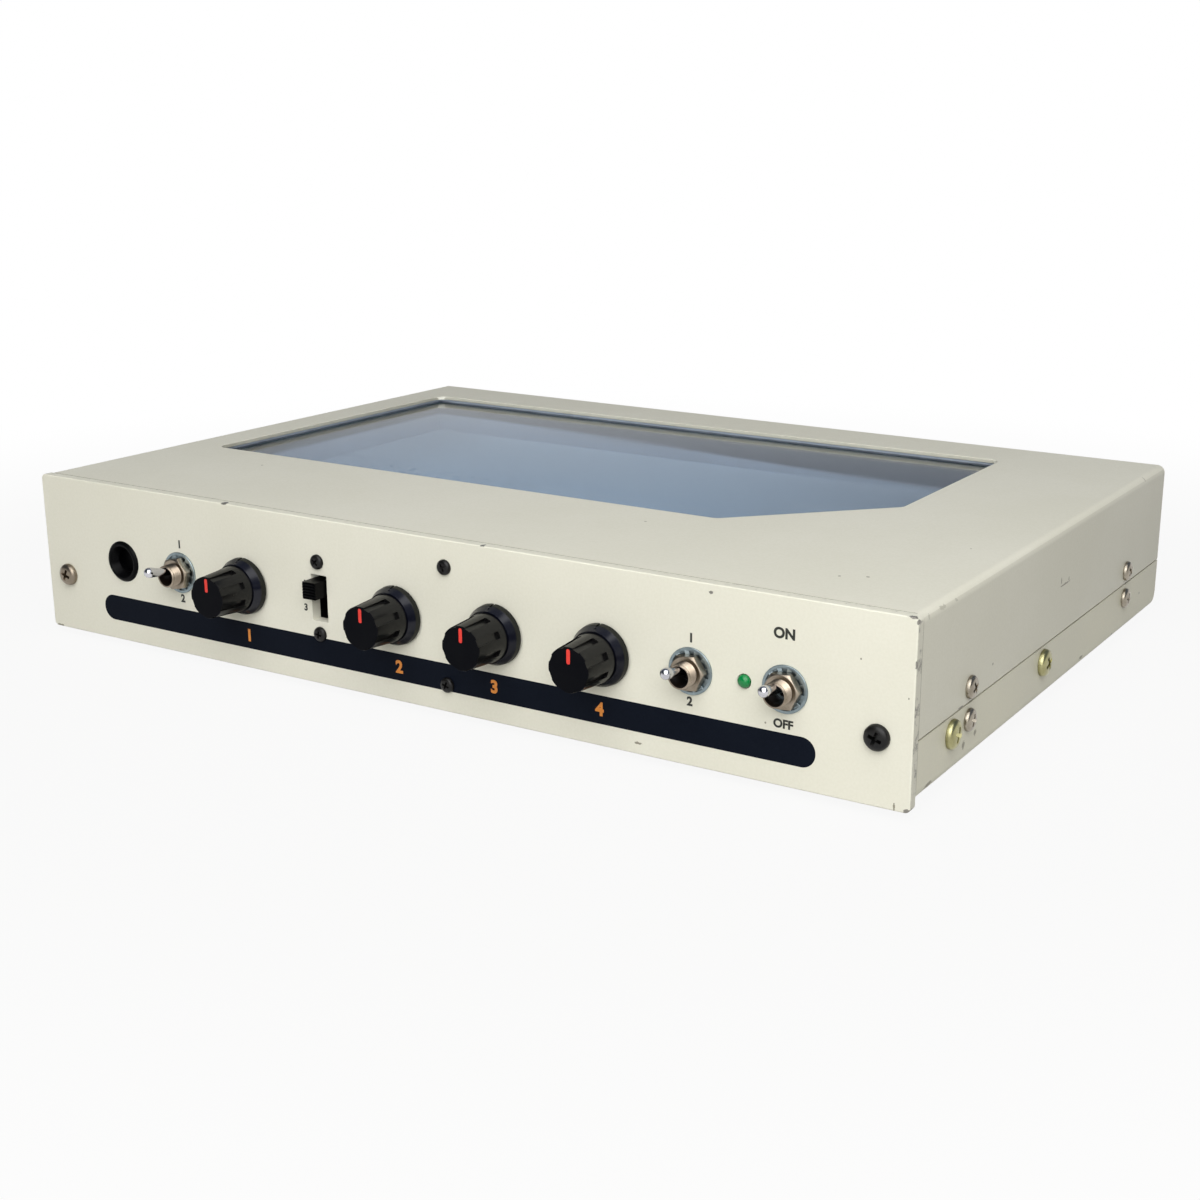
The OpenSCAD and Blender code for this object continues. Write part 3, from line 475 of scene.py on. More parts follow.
def two_surfaces(tree, factor, first, second, output="Material Output"):
    """Shows the first surface where the factor is 0, and the second where it is 1."""
    both = add(tree, "MixShader", {0: factor, 1: first.outputs[0], 2: second.outputs[0]})
    wire(tree, tree.nodes[output], {"Surface": both.outputs[0]})


# What a group's sockets carry, where it isn't a plain number
KINDS = {"Vector": "Vector", "Centre": "Vector", "Reach": "Vector", "Colour": "Color",
         "Second Colour": "Color"}


def new_group(name, ins, outs):
    """A node group with named sockets. Returns its tree, its inputs and its output node."""
    tree = bpy.data.node_groups.new(name, "ShaderNodeTree")
    for way, labels in (("INPUT", ins), ("OUTPUT", outs)):
        for label in labels:
            kind = "NodeSocket" + KINDS.get(label, "Float")
            tree.interface.new_socket(name=label, in_out=way, socket_type=kind)
    return tree, tree.nodes.new("NodeGroupInput").outputs, tree.nodes.new("NodeGroupOutput")


def use_group(tree, group, wires):
    return add(tree, "Group", wires, node_tree=group).outputs


# Slow patches and fine grain over a finish
mottle, enter, done = new_group(
    "mottle",
    ["Vector", "Colour", "Second Colour", "Patch Scale", "Patch Amount", "Grain Scale", "Grain Amount",
     "Roughness", "Roughness Swing"], ["Colour", "Roughness", "Grain"])
patches = noise(mottle, enter["Vector"], enter["Patch Scale"], 5, 0.6)
grain = noise(mottle, enter["Vector"], enter["Grain Scale"], 2)
share = times(mottle, spread(mottle, patches, 0.35, 0.65), enter["Patch Amount"])
fine = times(mottle, spread(mottle, grain, 0.3, 0.7), enter["Grain Amount"])
mixed = sum_up(mottle, "ADD", share, fine, clamp=True)
swing = sum_up(mottle, "SUBTRACT", sum_up(mottle, "ADD", patches, grain), 1)
wire(mottle, done, {
    "Colour": blended(mottle, mixed, enter["Colour"], enter["Second Colour"]), "Grain": grain,
    "Roughness": sum_up(mottle, "MULTIPLY_ADD", swing, enter["Roughness Swing"], enter["Roughness"])})

# Small separate flecks of dust or dirt
fleck, enter, done = new_group("fleck", ["Vector", "Scale", "Size", "Share"], ["Mask"])
cells = add(fleck, "TexVoronoi", {"Vector": enter["Vector"], "Scale": enter["Scale"]}).outputs
inside = sum_up(fleck, "LESS_THAN", cells["Distance"], enter["Size"])
chance = add(fleck, "SeparateColor", {"Color": cells["Color"]}).outputs[0]
lucky = sum_up(fleck, "LESS_THAN", chance, enter["Share"])
wire(fleck, done, {"Mask": times(fleck, inside, lucky)})

# One ragged spot at a place, for a scuff, a stain or a painted shade
scuff_and_shade, enter, done = new_group("scuff_and_shade", ["Vector", "Centre", "Reach", "Ragged"], ["Mask"])
away = reckon(scuff_and_shade, "DIVIDE", reckon(scuff_and_shade, "SUBTRACT", enter["Vector"], enter["Centre"]), enter["Reach"])
jag = sum_up(scuff_and_shade, "SUBTRACT", noise(scuff_and_shade, enter["Vector"], 1400, 5, 0.7), 0.5)
far = sum_up(scuff_and_shade, "MULTIPLY_ADD", jag, times(scuff_and_shade, enter["Ragged"], 4),
             reckon(scuff_and_shade, "LENGTH", away))
wire(scuff_and_shade, done, {"Mask": spread(scuff_and_shade, far, 0.85, 1.05, 1, 0)})

# Paint rubbed through along an edge
rub, enter, done = new_group("rub", ["Vector", "Distance", "Width", "Cover"], ["Mask"])
jag = noise(rub, enter["Vector"], 260, 6, 0.75)
bite = sum_up(rub, "SUBTRACT", sum_up(rub, "ADD", jag, enter["Cover"]), 1)
bite = times(rub, times(rub, bite, 6), enter["Width"])
left_over = sum_up(rub, "SUBTRACT", bite, enter["Distance"])
wire(rub, done, {"Mask": spread(rub, left_over, 0, 0.00008)})


def flecks(tree, where, scale, size, share):
    return use_group(tree, fleck, {"Vector": where, "Scale": scale, "Size": size, "Share": share})["Mask"]


def new_finish(name):
    """A new material. Returns its tree, its main shader and the object's own coordinates."""
    made = bpy.data.materials.new(name)
    made.use_nodes = True
    FINISHES[name] = made
    tree = made.node_tree
    where = add(tree, "TexCoord").outputs["Object"]
    return tree, tree.nodes["Principled BSDF"], where


def dress(tree, shader, where, colour, second, roughness, swing=0.08, metal=0, patch=60, amount=0.5,
          grain=2000, grain_amount=0.1, depth=0.00001, gloss=0.5):
    """Wires patches, grain and, if it has a depth, a fine relief to a shader."""
    out = use_group(tree, mottle, {
        "Vector": where, "Colour": colour, "Second Colour": second, "Patch Scale": patch,
        "Patch Amount": amount, "Grain Scale": grain, "Grain Amount": grain_amount,
        "Roughness": roughness, "Roughness Swing": swing})
    wire(tree, shader, {"Base Color": out["Colour"], "Roughness": out["Roughness"], "Metallic": metal,
                        "Specular IOR Level": gloss})
    if depth:
        bump(tree, shader, out["Grain"], depth)
    return out


def plain_finish(name, colour, second, roughness, squeeze=None, **more):
    """A metal, plastic, rubber or ink finish without any marks of its own."""
    tree, shader, where = new_finish(name)
    if squeeze:
        where = stretched(tree, where, squeeze)
    dress(tree, shader, where, tint(*colour), tint(*second), roughness,
          **{"grain": 2500, "grain_amount": 0.15, "depth": 0.00002, **more})


def mark_at(tree, where, centre, reach, ragged, strength=1):
    """A mask of one ragged spot (a scuff, a stain or a painted shade), at a place and of a reach in mm."""
    spot = use_group(tree, scuff_and_shade, {"Vector": where, "Centre": place(*centre),
                                   "Reach": Vector(reach) * MM, "Ragged": ragged})["Mask"]
    return times(tree, spot, strength) if strength < 1 else spot


PAINT = tint(229, 227, 213)
PAINT_SHADE = tint(221, 219, 203)
BARE = tint(142, 139, 131)
# The colour that both stains and painted shade darken the paint towards
GRIME_AND_SHADE = tint(92, 84, 62)


def cream_paint(name, chips=(), stains_and_shade=(), rubs=(), grime_share=0.02, skin=PAINT):
    """Cream paint with an even skin, worn at the places given in mm on the panel.
    chips go down to the metal; stains_and_shade darken the paint, some as stains and some as painted shade:
    (centre, reach, raggedness, strength).
    rubs are worn edges: (point on the edge, direction into the sheet, width, cover, axis along the
    edge, and where on it in metres the wear starts and is full)."""
    tree, shader, where = new_finish(name)
    out = dress(tree, shader, where, skin, PAINT_SHADE, 0.44, swing=0.1, patch=14, grain=1500,
                grain_amount=0.35, depth=0, gloss=0.35)
    # Flecks of dirt, then the stains and the painted shade
    dirt_and_shade = flecks(tree, where, 90, 0.035, grime_share)
    dirt_and_shade = most(tree, dirt_and_shade, *[mark_at(tree, where, *darkening) for darkening in stains_and_shade])
    spots = [mark_at(tree, where, *chip) for chip in chips]
    for point, inward, width, cover, axis, start, end in rubs:
        gap = reckon(tree, "DOT_PRODUCT", reckon(tree, "SUBTRACT", where, place(*point)), inward)
        spot = use_group(tree, rub, {"Vector": where, "Distance": gap, "Width": width * MM,
                                     "Cover": cover})["Mask"]
        worn = spread(tree, part_of(tree, where, axis), start, end)
        spots.append(times(tree, spot, worn))
    bare = most(tree, *spots)
    colour = blended(tree, times(tree, dirt_and_shade, 0.75), out["Colour"], GRIME_AND_SHADE)
    wire(tree, shader, {"Base Color": blended(tree, bare, colour, BARE),
                        "Metallic": times(tree, bare, 0.6)})
    height = sum_up(tree, "SUBTRACT", out["Grain"], times(tree, bare, 3))
    bump(tree, shader, height, 0.000012)


INWARD_LEFT = (-1, 0, 0)
INWARD_DOWN = (0, 0, -1)
INWARD_UP = (0, 0, 1)
INWARD_BACK = (0, 1, 0)
PANEL_FOOT = panel_low.z
ALONG = 400
PANEL_JOINT = ((0, PANEL_T, PANEL_H), (ALONG, 0.1, 0.9), 0.12)
# Painted shadow on the case sides just behind the panel, where the panel's overhanging step shades them
SIDE_STEP_SHADOW = ((132, PANEL_T, 20), (3, 0.22, 90), 0.1, 0.75)
# Painted shade, even over the whole right side of the cover and the tray
RIGHT_SIDE_SHADE = ((CASE_HALF, 90, 25), (0.4, ALONG, 60), 0.05, 0.2)
cream_paint(
    "panel_paint",
    chips=[((-63.3, 0, 43.95), (0.9, 2, 0.3), 0.5), ((131.6, 0, 43.9), (1.5, 1.2, 0.35), 0.7),
           ((132.1, 0.4, 42.9), (0.3, 0.8, 0.7), 0.7), ((131.6, 0, 0.5), (0.9, 2.5, 0.7), 0.6),
           ((-94.6, 0, 9.6), (0.35, 1, 0.3), 0.3), ((82.7, 0, 42), (0.5, 1, 0.35), 0.6),
           ((20, 0, 43.95), (0.6, 2, 0.14), 0.6), ((132.1, 0, 33.5), (0.2, 1, 0.9), 0.7)],
    stains_and_shade=[((119.5, 0, 32.9), (0.2, 1, 0.25), 0.3), ((97, 0, 14.2), (0.25, 1, 0.25), 0.3),
            ((128.5, 0, 0.9), (0.25, 1, 0.9), 0.5), ((-129.9, 0, 0.3), (1.2, 2, 0.4), 0.5),
            ((130.8, 0, 26), (0.15, 1, 0.25), 0.2), ((64, 0, 2.8), (0.9, 1, 0.3), 0.8),
            # The last one is painted shade, greying the panel's whole right edge face
            PANEL_JOINT, ((PANEL_HALF, 1.5, 22), (0.1, 1.7, 30), 0.4, 0.25)],
    rubs=[((PANEL_HALF, 0, 0), INWARD_LEFT, 0.1, 0.48, "Z", PANEL_FOOT - 0.01, PANEL_FOOT),
          ((0, 0, PANEL_H), INWARD_DOWN, 0.07, 0.44, "X", 0.03, 0.10),
          ((0, 0, 0), INWARD_UP, 0.13, 0.47, "X", 0.08, 0.13)])
cream_paint(
    "cover_paint",
    chips=[((CASE_HALF, 27, 16.1), (1, 1.6, 0.25), 0.6)],
    stains_and_shade=[((CASE_HALF, 95.9, 28.6), (1, 3.6, 0.25), 0.9), ((CASE_HALF, 93, 30), (1, 0.35, 0.8), 0.8),
            ((CASE_HALF, 99, 29.2), (1, 0.3, 0.7), 0.8), ((CASE_HALF, 46.3, 21), (1, 0.35, 0.35), 0.3),
            ((131.7, 13.6, 42.7), (0.8, 1.8, 0.5), 0.9, 0.5),
            ((131.7, 21.4, 42.6), (0.6, 0.8, 0.4), 0.8, 0.5),
            ((131.7, 6.2, 42.6), (0.7, 0.6, 0.6), 0.9, 0.5), SIDE_STEP_SHADOW, RIGHT_SIDE_SHADE,
            ((109.8, 23.6, 44), (0.5, 0.4, 1), 0.4), ((104, 21, 44), (0.3, 0.4, 1), 0.4),
            ((120, 60, 44), (0.25, 0.25, 1), 0.3), ((40, 42, 44), (0.4, 0.3, 1), 0.4),
            PANEL_JOINT, ((CASE_HALF, 90, SEAM_HIGH), (1, 300, 0.16), 0.12, 0.4),
            # Painted shade on the window's rear and left cut edges, toning down their lit cream and its
            # reflection in the pane
            ((0, WINDOW_HIGH[1], 43.2), (ALONG, 0.4, 0.7), 0.05, 0.5),
            ((WINDOW_LOW[0], 100, 43.2), (0.4, ALONG, 0.7), 0.05, 0.6)],
    rubs=[((0, PANEL_T, 0), INWARD_BACK, 0.1, 0.44, "X", 0.04, 0.11)], grime_share=0.03)
cream_paint(
    "chassis_paint",
    chips=[((CASE_HALF, 141.3, 3.2), (2, 0.8, 0.5), 0.7), ((CASE_HALF, 165.5, 9.4), (1, 0.35, 0.35), 0.3)],
    stains_and_shade=[((CASE_HALF, 30, 6.2), (1, 0.8, 0.9), 0.9), ((CASE_HALF, 37, 7), (1, 0.7, 0.7), 0.9),
            ((CASE_HALF, 9.9, 3.4), (1, 2.2, 0.7), 0.9), ((CASE_HALF, 114, 4), (1, 1.4, 0.5), 0.8),
            ((CASE_HALF, 90, SEAM_LOW), (1, 300, 0.14), 0.12, 0.4), SIDE_STEP_SHADOW, RIGHT_SIDE_SHADE],
    grime_share=0.03, skin=tint(229, 226, 205))
cream_paint("rear_paint", chips=[((40, REAR_OUT, 3.6), (1.4, 1, 0.5), 0.6)])

# Chamber wall: painted shade, dark as the walls look in shadow under the pane, with a pale foot whose top
# rises towards the left to shape the dark band
FOOT_EDGE = 0.6 * MM
tree, shader, where = new_finish("dark_wall")
foot_top = ramp(tree, where, "X", -119, 88, place(0, 0, 35.2).z, place(0, 0, 30.9).z)
above = sum_up(tree, "SUBTRACT", part_of(tree, where, "Z"), foot_top)
dark = spread(tree, above, -FOOT_EDGE, FOOT_EDGE)
dress(tree, shader, where, blended(tree, dark, tint(150, 160, 176), tint(24, 27, 34)),
      blended(tree, dark, tint(138, 148, 164), tint(34, 37, 45)), 0.5, patch=25, gloss=0.3)

# Deck paint: pale grey, with painted shade darkening it towards the window's right and left ends, where the
# cover shades the deck, and a few marks
DECK_MARKS = ((-42.8, 152.8, 0.7, 0.5), (-83.4, 132.8, 0.5, 0.5), (-60, 120, 0.4, 0.4), (10, 140, 0.5, 0.4))
tree, shader, where = new_finish("deck_paint")
dull_and_shade = sum_up(tree, "ADD", ramp(tree, where, "X", -20, 90, 0, 0.85),
              ramp(tree, where, "X", -118, -80, 0.35, 0))
base = blended(tree, dull_and_shade, tint(170, 182, 198), tint(114, 119, 132))
out = dress(tree, shader, stretched(tree, where, (0.35, 1, 1)), base,
            blended(tree, 0.3, base, tint(190, 198, 206)), 0.3, swing=0.12, patch=16, amount=0.8,
            grain=900, grain_amount=0.15, gloss=0.3)
marks = flecks(tree, where, 60, 0.05, 0.12)
for x, y, wide, deep in DECK_MARKS:
    marks = most(tree, marks, mark_at(tree, where, (x, y, 29.5), (wide, deep, 2), 0.3))
marks = times(tree, marks, 0.45)
wire(tree, shader, {"Base Color": blended(tree, marks, out["Colour"], tint(70, 72, 74))})

# Seal round the pane: a dark green upper lip over a grey foot
SEAL_FOOT = 42.58
tree, shader, where = new_finish("seal_rubber")
lip = ramp(tree, where, "Z", SEAL_FOOT, SEAL_FOOT + 0.06)
dress(tree, shader, where, blended(tree, lip, tint(176, 184, 196), tint(20, 78, 46)),
      blended(tree, lip, tint(160, 168, 180), tint(34, 84, 56)), 0.7, swing=0.1, patch=90, amount=0.7,
      depth=0.00003, gloss=0.2)

# Nickel of the toggles' bushings, with painted shade in the bore: near black and not metal within the
# bore's radius
BORE_R = 2.5
UNTIL = 0.03
tree, shader, where = new_finish("threaded_nickel")
flat = reckon(tree, "MULTIPLY", where, (1, 0, 1))
bore_shades = []
for x, back in TOGGLES.values():
    off = reckon(tree, "DISTANCE", flat, place(x, 0, CONTROL_Z) * Vector((1, 0, 1)))
    bore_shades.append(spread(tree, off, (BORE_R - UNTIL) * MM, (BORE_R + UNTIL) * MM, 1, 0))
inside = most(tree, *bore_shades)
out = dress(tree, shader, where, tint(166, 153, 137), tint(122, 110, 95), 0.3, swing=0.14, patch=350,
            grain=4000, grain_amount=0.15)
wire(tree, shader, {"Base Color": blended(tree, inside, out["Colour"], tint(24, 17, 12)),
                    "Metallic": sum_up(tree, "SUBTRACT", 1, inside)})

# Plain finishes: colour, second colour and roughness
nickel = dict(metal=1, swing=0.14, patch=350, grain=4000)
plain_finish("tinted_nickel", (160, 149, 134), (118, 107, 92), 0.32, depth=0.00001, **nickel)
plain_finish("bright_steel", (168, 160, 146), (122, 114, 100), 0.28, **nickel)
plain_finish("lever_chrome", (214, 214, 218), (176, 174, 182), 0.13, depth=0.000004, **nickel)
plain_finish("head_steel", (196, 196, 198), (168, 168, 172), 0.2, squeeze=(1, 1, 0.05), **nickel)
plain_finish("blue_zinc", (148, 161, 165), (114, 127, 132), 0.38, **nickel)
plain_finish("yellow_zinc", (176, 172, 128), (134, 128, 92), 0.3, **nickel)
plain_finish("black_steel", (9, 9, 9), (26, 24, 22), 0.34, metal=0.2, patch=500, swing=0.12, gloss=0.35)
plain_finish("aluminium", (200, 200, 202), (176, 176, 180), 0.4, metal=1, squeeze=(1, 0.03, 1),
             patch=500)
plain_finish("brass", (196, 164, 96), (160, 128, 70), 0.3, **nickel)
plain_finish("bronze", (150, 112, 72), (116, 84, 54), 0.42, metal=1, patch=300)
plain_finish("black_plastic", (3, 3, 4), (9, 9, 10), 0.3, patch=250, grain=3500, gloss=0.06)
plain_finish("dark_rubber", (22, 34, 28), (36, 46, 40), 0.62, patch=120, grain=3000, depth=0.00005,
             gloss=0.25)
plain_finish("white_plastic", (222, 220, 212), (206, 203, 192), 0.35)
plain_finish("red_plastic", (150, 34, 28), (118, 24, 22), 0.38)
plain_finish("tape_brown", (74, 52, 42), (54, 38, 32), 0.22, squeeze=(0.05, 0.05, 1), patch=900,
             amount=0.8)
plain_finish("stripe_ink", (10, 15, 25), (18, 23, 33), 0.5, patch=25, grain_amount=0.3, gloss=0.04)
plain_finish("black_ink", (24, 25, 18), (36, 38, 28), 0.45, patch=400)
plain_finish("orange_ink", (226, 142, 56), (204, 122, 44), 0.45, patch=400)
plain_finish("pointer_red", (232, 58, 46), (208, 44, 36), 0.4, patch=300)

# Circuit board with its tracks
tree, shader, where = new_finish("board_green")
tracks = add(tree, "TexBrick", {
    "Vector": where, "Color1": tint(28, 92, 58), "Color2": tint(36, 104, 66),
    "Mortar": tint(84, 140, 92), "Scale": 90, "Mortar Size": 0.03}).outputs["Color"]
dress(tree, shader, where, tracks, tint(24, 80, 52), 0.32, swing=0.1, depth=0.00003)

# Knob plastic in bands (start in mm from the panel, colour, coat): rim, blue-black slope, body, face
FULL_OUT = 15
KNOB_BANDS = [(0, tint(22, 23, 20), 0.3), (2.18, tint(9, 11, 24), 0.6), (4.12, tint(9, 9, 10), 0.5),
              (14.2, tint(2, 3, 8), 0.02)]
tree, shader, where = new_finish("knob_plastic")
out_y = sum_up(tree, "SUBTRACT", panel_low.y, part_of(tree, where, "Y"))
out_share = times(tree, out_y, 1 / (FULL_OUT * MM))
bands = banded(tree, out_share, [(start, colour) for start, colour, coat in KNOB_BANDS], FULL_OUT)
coats = banded(tree, out_share, [(start, (coat, coat, coat, 1)) for start, colour, coat in KNOB_BANDS],
               FULL_OUT)
dress(tree, shader, where, bands, blended(tree, 0.1, bands, tint(46, 46, 44)), 0.42, patch=160,
      amount=0.4, grain=3000, grain_amount=0.25, gloss=0.04)
wire(tree, shader, {"Coat Weight": coats, "Coat Roughness": 0.2})

# Green lens, with painted shade darkening it towards its rim, where it faces away
tree, shader, where = new_finish("green_lens")
rim = add(tree, "LayerWeight", {"Blend": 0.35}).outputs["Facing"]
lens_tone = blended(tree, noise(tree, where, 1800), tint(0, 132, 64), tint(0, 118, 56))
grain = noise(tree, where, 900)
wire(tree, shader, {"Base Color": blended(tree, rim, lens_tone, tint(0, 92, 46)), "Coat Weight": 0.35,
                    "Roughness": spread(tree, grain, 0.2, 0.8, 0.06, 0.16), "Specular IOR Level": 0.3})
bump(tree, shader, grain, 0.000004)

# Window pane: clear, a little smeared, and it lets the lamps through
tree, shader, where = new_finish("clear_glass")
smear = noise(tree, stretched(tree, where, (0.3, 1, 1)), 30, 6, 0.65)
dust = flecks(tree, where, 140, 0.06, 0.05)
dull_and_shade = sum_up(tree, "ADD", spread(tree, smear, 0.45, 0.75, 0.012, 0.07), times(tree, dust, 0.4))
wire(tree, shader, {"Base Color": blended(tree, dust, tint(238, 246, 250), tint(120, 124, 120)),
                    "Roughness": dull_and_shade, "Transmission Weight": 1, "IOR": 1.45})
bump(tree, shader, smear, 0.000004)
open_air = add(tree, "BsdfTransparent", {"Color": (0.86, 0.9, 0.92, 1)})
two_surfaces(tree, add(tree, "LightPath").outputs["Is Shadow Ray"], shader, open_air)


# ------------ case

# Front panel: a thick plate with rounded corners, drilled for everything on it: (x, z, radius)
PANEL_HOLES = [(JACK_X, CONTROL_Z, 5), (LED_X, CONTROL_Z, 1.75)]
PANEL_HOLES += [(x, CONTROL_Z, 3.6) for x in KNOBS.values()]
PANEL_HOLES += [(x, CONTROL_Z, 3.1) for x, back in TOGGLES.values()]
PANEL_HOLES += [(side * END_SCREW[0], END_SCREW[1], 1.8) for side in (-1, 1)]
PANEL_HOLES += [(x, z, 1.1) for x, z in SMALL_SCREWS]
panel = block("panel_plate", (-PANEL_HALF, 0, 0), (PANEL_HALF, PANEL_T, PANEL_H))
round_edges(panel, runs_back, PANEL_CORNER, 6)
soften(panel, 0.35, 3)
drills = [drill(*hole) for hole in PANEL_HOLES]
drills.append(block("slot_cut", (SLOT_X - SLOT_W / 2, -2, SLOT_Z - SLOT_H / 2),
                    (SLOT_X + SLOT_W / 2, 5, SLOT_Z + SLOT_H / 2)))
cut(panel, joined("drills", drills))
slot_mid = place(SLOT_X, 0, SLOT_Z)
NEAR = 0.1


def at_slot_mouth(mid, way):
    off = mid - slot_mid
    return (abs(off.y) < NEAR * MM and abs(off.x) < (SLOT_W / 2 + NEAR) * MM
            and abs(off.z) < (SLOT_H / 2 + NEAR) * MM)


round_edges(panel, at_slot_mouth, 0.2, 2)
fit(shade(panel), "cream_paint", "front_panel", finish="panel_paint")


def folded(name, low_z, high_z, bend_z, open_way):
    """A sheet folded into a flat and two sides. It bends at bend_z and is open up (1) or down (-1)."""
    sheet = block(name, (-CASE_HALF, PANEL_T, low_z), (CASE_HALF, CASE_REAR, high_z))
    level = place(0, 0, bend_z).z
    round_edges(sheet, lambda mid, way: abs(way.y) > 0.9 and abs(mid.z - level) < MM, BEND_R, 7)
    drop_faces(sheet, lambda mid, way: way.z * open_way > 0.9 or abs(way.y) > 0.9)
    use(sheet, "SOLIDIFY", thickness=SHEET_T * MM, offset=-1)
    return sheet


def upright_at(*corners):
    """A test for upright edges at these corners, seen from above."""
    spots = [place(x, y, 0) for x, y in corners]
    return lambda mid, way: abs(way.z) > 0.9 and min((mid - spot).xy.length for spot in spots) < MM


# Cover: top and two sides, with the window cut out
cover = folded("cover_sheet", SEAM_HIGH, PANEL_H, PANEL_H, -1)
window = block("window_cut", (*WINDOW_LOW, 36), (*WINDOW_HIGH, 48))
run = place(*CUT_TO, 0) - place(*CUT_FROM, 0)
take(window, "FACE", every)
bpy.ops.mesh.bisect(plane_co=place(*CUT_FROM, 0), plane_no=(run.y, -run.x, 0), use_fill=True,
                    clear_outer=True)
leave()
tidy_mesh(window)
round_edges(window, upright_at(CUT_FROM, CUT_TO), CUT_ROUND, 4)
round_edges(window, upright_at(WINDOW_LOW, (WINDOW_LOW[0], WINDOW_HIGH[1]), WINDOW_HIGH), WINDOW_ROUND, 8)
soften(cut(cover, window), 0.2)
fit(shade(cover), "cream_paint", "top_cover", finish="cover_paint")

# Chassis: a tray with rounded rear corners and the board's standoffs
POST_STEPS = [(0, 3), (5.3, 3), (5.5, 2.8), (5.5, 1.2), (0.5, 1.1)]
tray = folded("chassis_tray", FLOOR_UNDER, SEAM_LOW, FLOOR_UNDER, 1)
corner_y = CASE_REAR - REAR_CORNER
corner_z = FLOOR_UNDER + REAR_CORNER
corner = block("corner_cut", (-140, corner_y, -3), (140, 190, corner_z))
cut(corner, bar(REAR_CORNER, 300, place(0, corner_y, corner_z), 64, (0, QUARTER, 0)))
soften(cut(tray, corner), 0.2)
post = turned("post", POST_STEPS, 32)
posts = [copied(post, "post", (side * POST_X, y, FLOOR_UNDER + SHEET_T), (-QUARTER, 0, 0))
         for side in (-1, 1) for y in POST_YS]
scrap(post)
tray = joined("chassis_tray", [tray] + posts)
fit(shade(tray), "cream_paint", "bottom_chassis", finish="chassis_paint")

# Rear panel, with its holes: (x, z, radius)
REAR_HOLES = [(x, SOCKET_Z, 5.1) for x in REAR_JACK_XS] + [(INLET_X, SOCKET_Z, 4.8)]
REAR_HOLES += [(side * END_SCREW[0], z, 1.6) for side in (-1, 1) for z in REAR_SCREW_ZS]
rear = block("rear_plate", (-130.7, REAR_Y, 3.15), (130.7, REAR_OUT, 42.6))
round_edges(rear, runs_back, 1, 4)
soften(rear, 0.25)
cut(rear, joined("rear_drills", [drill(*hole, 177, 184) for hole in REAR_HOLES]))
fit(shade(rear), "cream_paint", "rear_panel", finish="rear_paint")

# Stripe and figures printed on the panel
stripe = block("stripe_print", (-110.8, -INK_T, 5.5), (109.5, 0, 12.6))
round_edges(stripe, runs_back, 3.5, 10)
fit(shade(stripe), "cream_paint", finish="stripe_ink")

CAP_SHARE = 0.72
THICKER = 0.058


def print_figures(name, figures, ink, layer=1):
    """Figures printed flat on the panel: (text, x, z, height in mm)."""
    made = []
    for words, x, z, height in figures:
        only()
        bpy.ops.object.text_add()
        text = bpy.context.object.data
        text.body = words
        text.size = height / CAP_SHARE * MM
        text.align_x = "CENTER"
        text.align_y = "CENTER"
        text.extrude = INK_T / 2 * MM
        text.offset = height * THICKER * MM
        text.resolution_u = 6
        bpy.ops.object.convert(target="MESH")
        obj = bpy.context.object
        obj.rotation_euler = (QUARTER, 0, 0)
        obj.location = place(x, -INK_T * (layer - 0.5), z)
        made.append(freeze(obj))
    fit(tidy_mesh(joined(name, made)), "cream_paint", finish=ink)


print_figures("knob_figures", [("1", -56.8, 9, 3.2), ("2", -6.4, 9, 3.2), ("3", 22.9, 9, 3.2),
                               ("4", 53.3, 9, 3.2)], "orange_ink", layer=2)
print_figures("switch_figures", [
    ("1", -36.4, 26.3, 1.8), ("2", -36.4, 23.1, 1.8), ("3", -36.4, 20, 1.8),
    ("1", -80.3, 30.6, 2.1), ("2", -80.3, 15.6, 2.1), ("1", 77.8, 30.6, 2.1), ("2", 77.6, 15.5, 2.1),
    ("ON", 101.2, 35.4, 2.4), ("OFF", 101.4, 14.6, 2)], "black_ink")

# ------------ knobs

KNOB_STEPS = [(0.6, 7.45), (0.75, 7.6), (2.1, 7.42), (2.25, 7.3), (4.1, 6.45), (3.45, 6.35),
              (3.45, 6.16), (14.12, 5.47), (14.28, 5.4), (14.32, 5.26)]
GROOVES = 8
GROOVE_HALF = 0.9
GROOVE_FLOOR = 5.16
GROOVE_FROM = 6.4
NOTCH_HALF = 0.25
POINTER_LOW = 1.35
POINTER_HIGH = 5
POINTER_HALF = 0.52
ROOM = 0.03

knob = turned("knob_blank", KNOB_STEPS, 72)
groove = bench_block("groove", (-GROOVE_HALF, -16, GROOVE_FLOOR), (GROOVE_HALF, -GROOVE_FROM, 8))
round_edges(groove, lambda mid, way: abs(way.z) > 0.9 and mid.y > -8 * MM, 0.15, 2)
cut(knob, joined("grooves", ring_of(groove, GROOVES, 0.5)))
soften(knob, 0.05, 2, 32)
notch = bench_block("notch", (-NOTCH_HALF, -2.9, 7.1), (NOTCH_HALF, -0.3, 8.2))
slant = bench_block("slant", (-NOTCH_HALF, -4.3, 6.75), (NOTCH_HALF, -2.8, 8.2))
slit = bench_block("slit", (-POINTER_HALF - ROOM, -15, POINTER_LOW - ROOM),
                   (POINTER_HALF + ROOM, -14.08, POINTER_HIGH + ROOM))
round_edges(slit, runs_back, 0.5, 6)
cut(knob, slit, notch, slant)
shade(knob, 30)
pointer = bench_block("pointer", (-POINTER_HALF, -14.26, POINTER_LOW),
                      (POINTER_HALF, -14.06, POINTER_HIGH))
round_edges(pointer, runs_back, 0.5, 6)
shade(soften(pointer, 0.05))
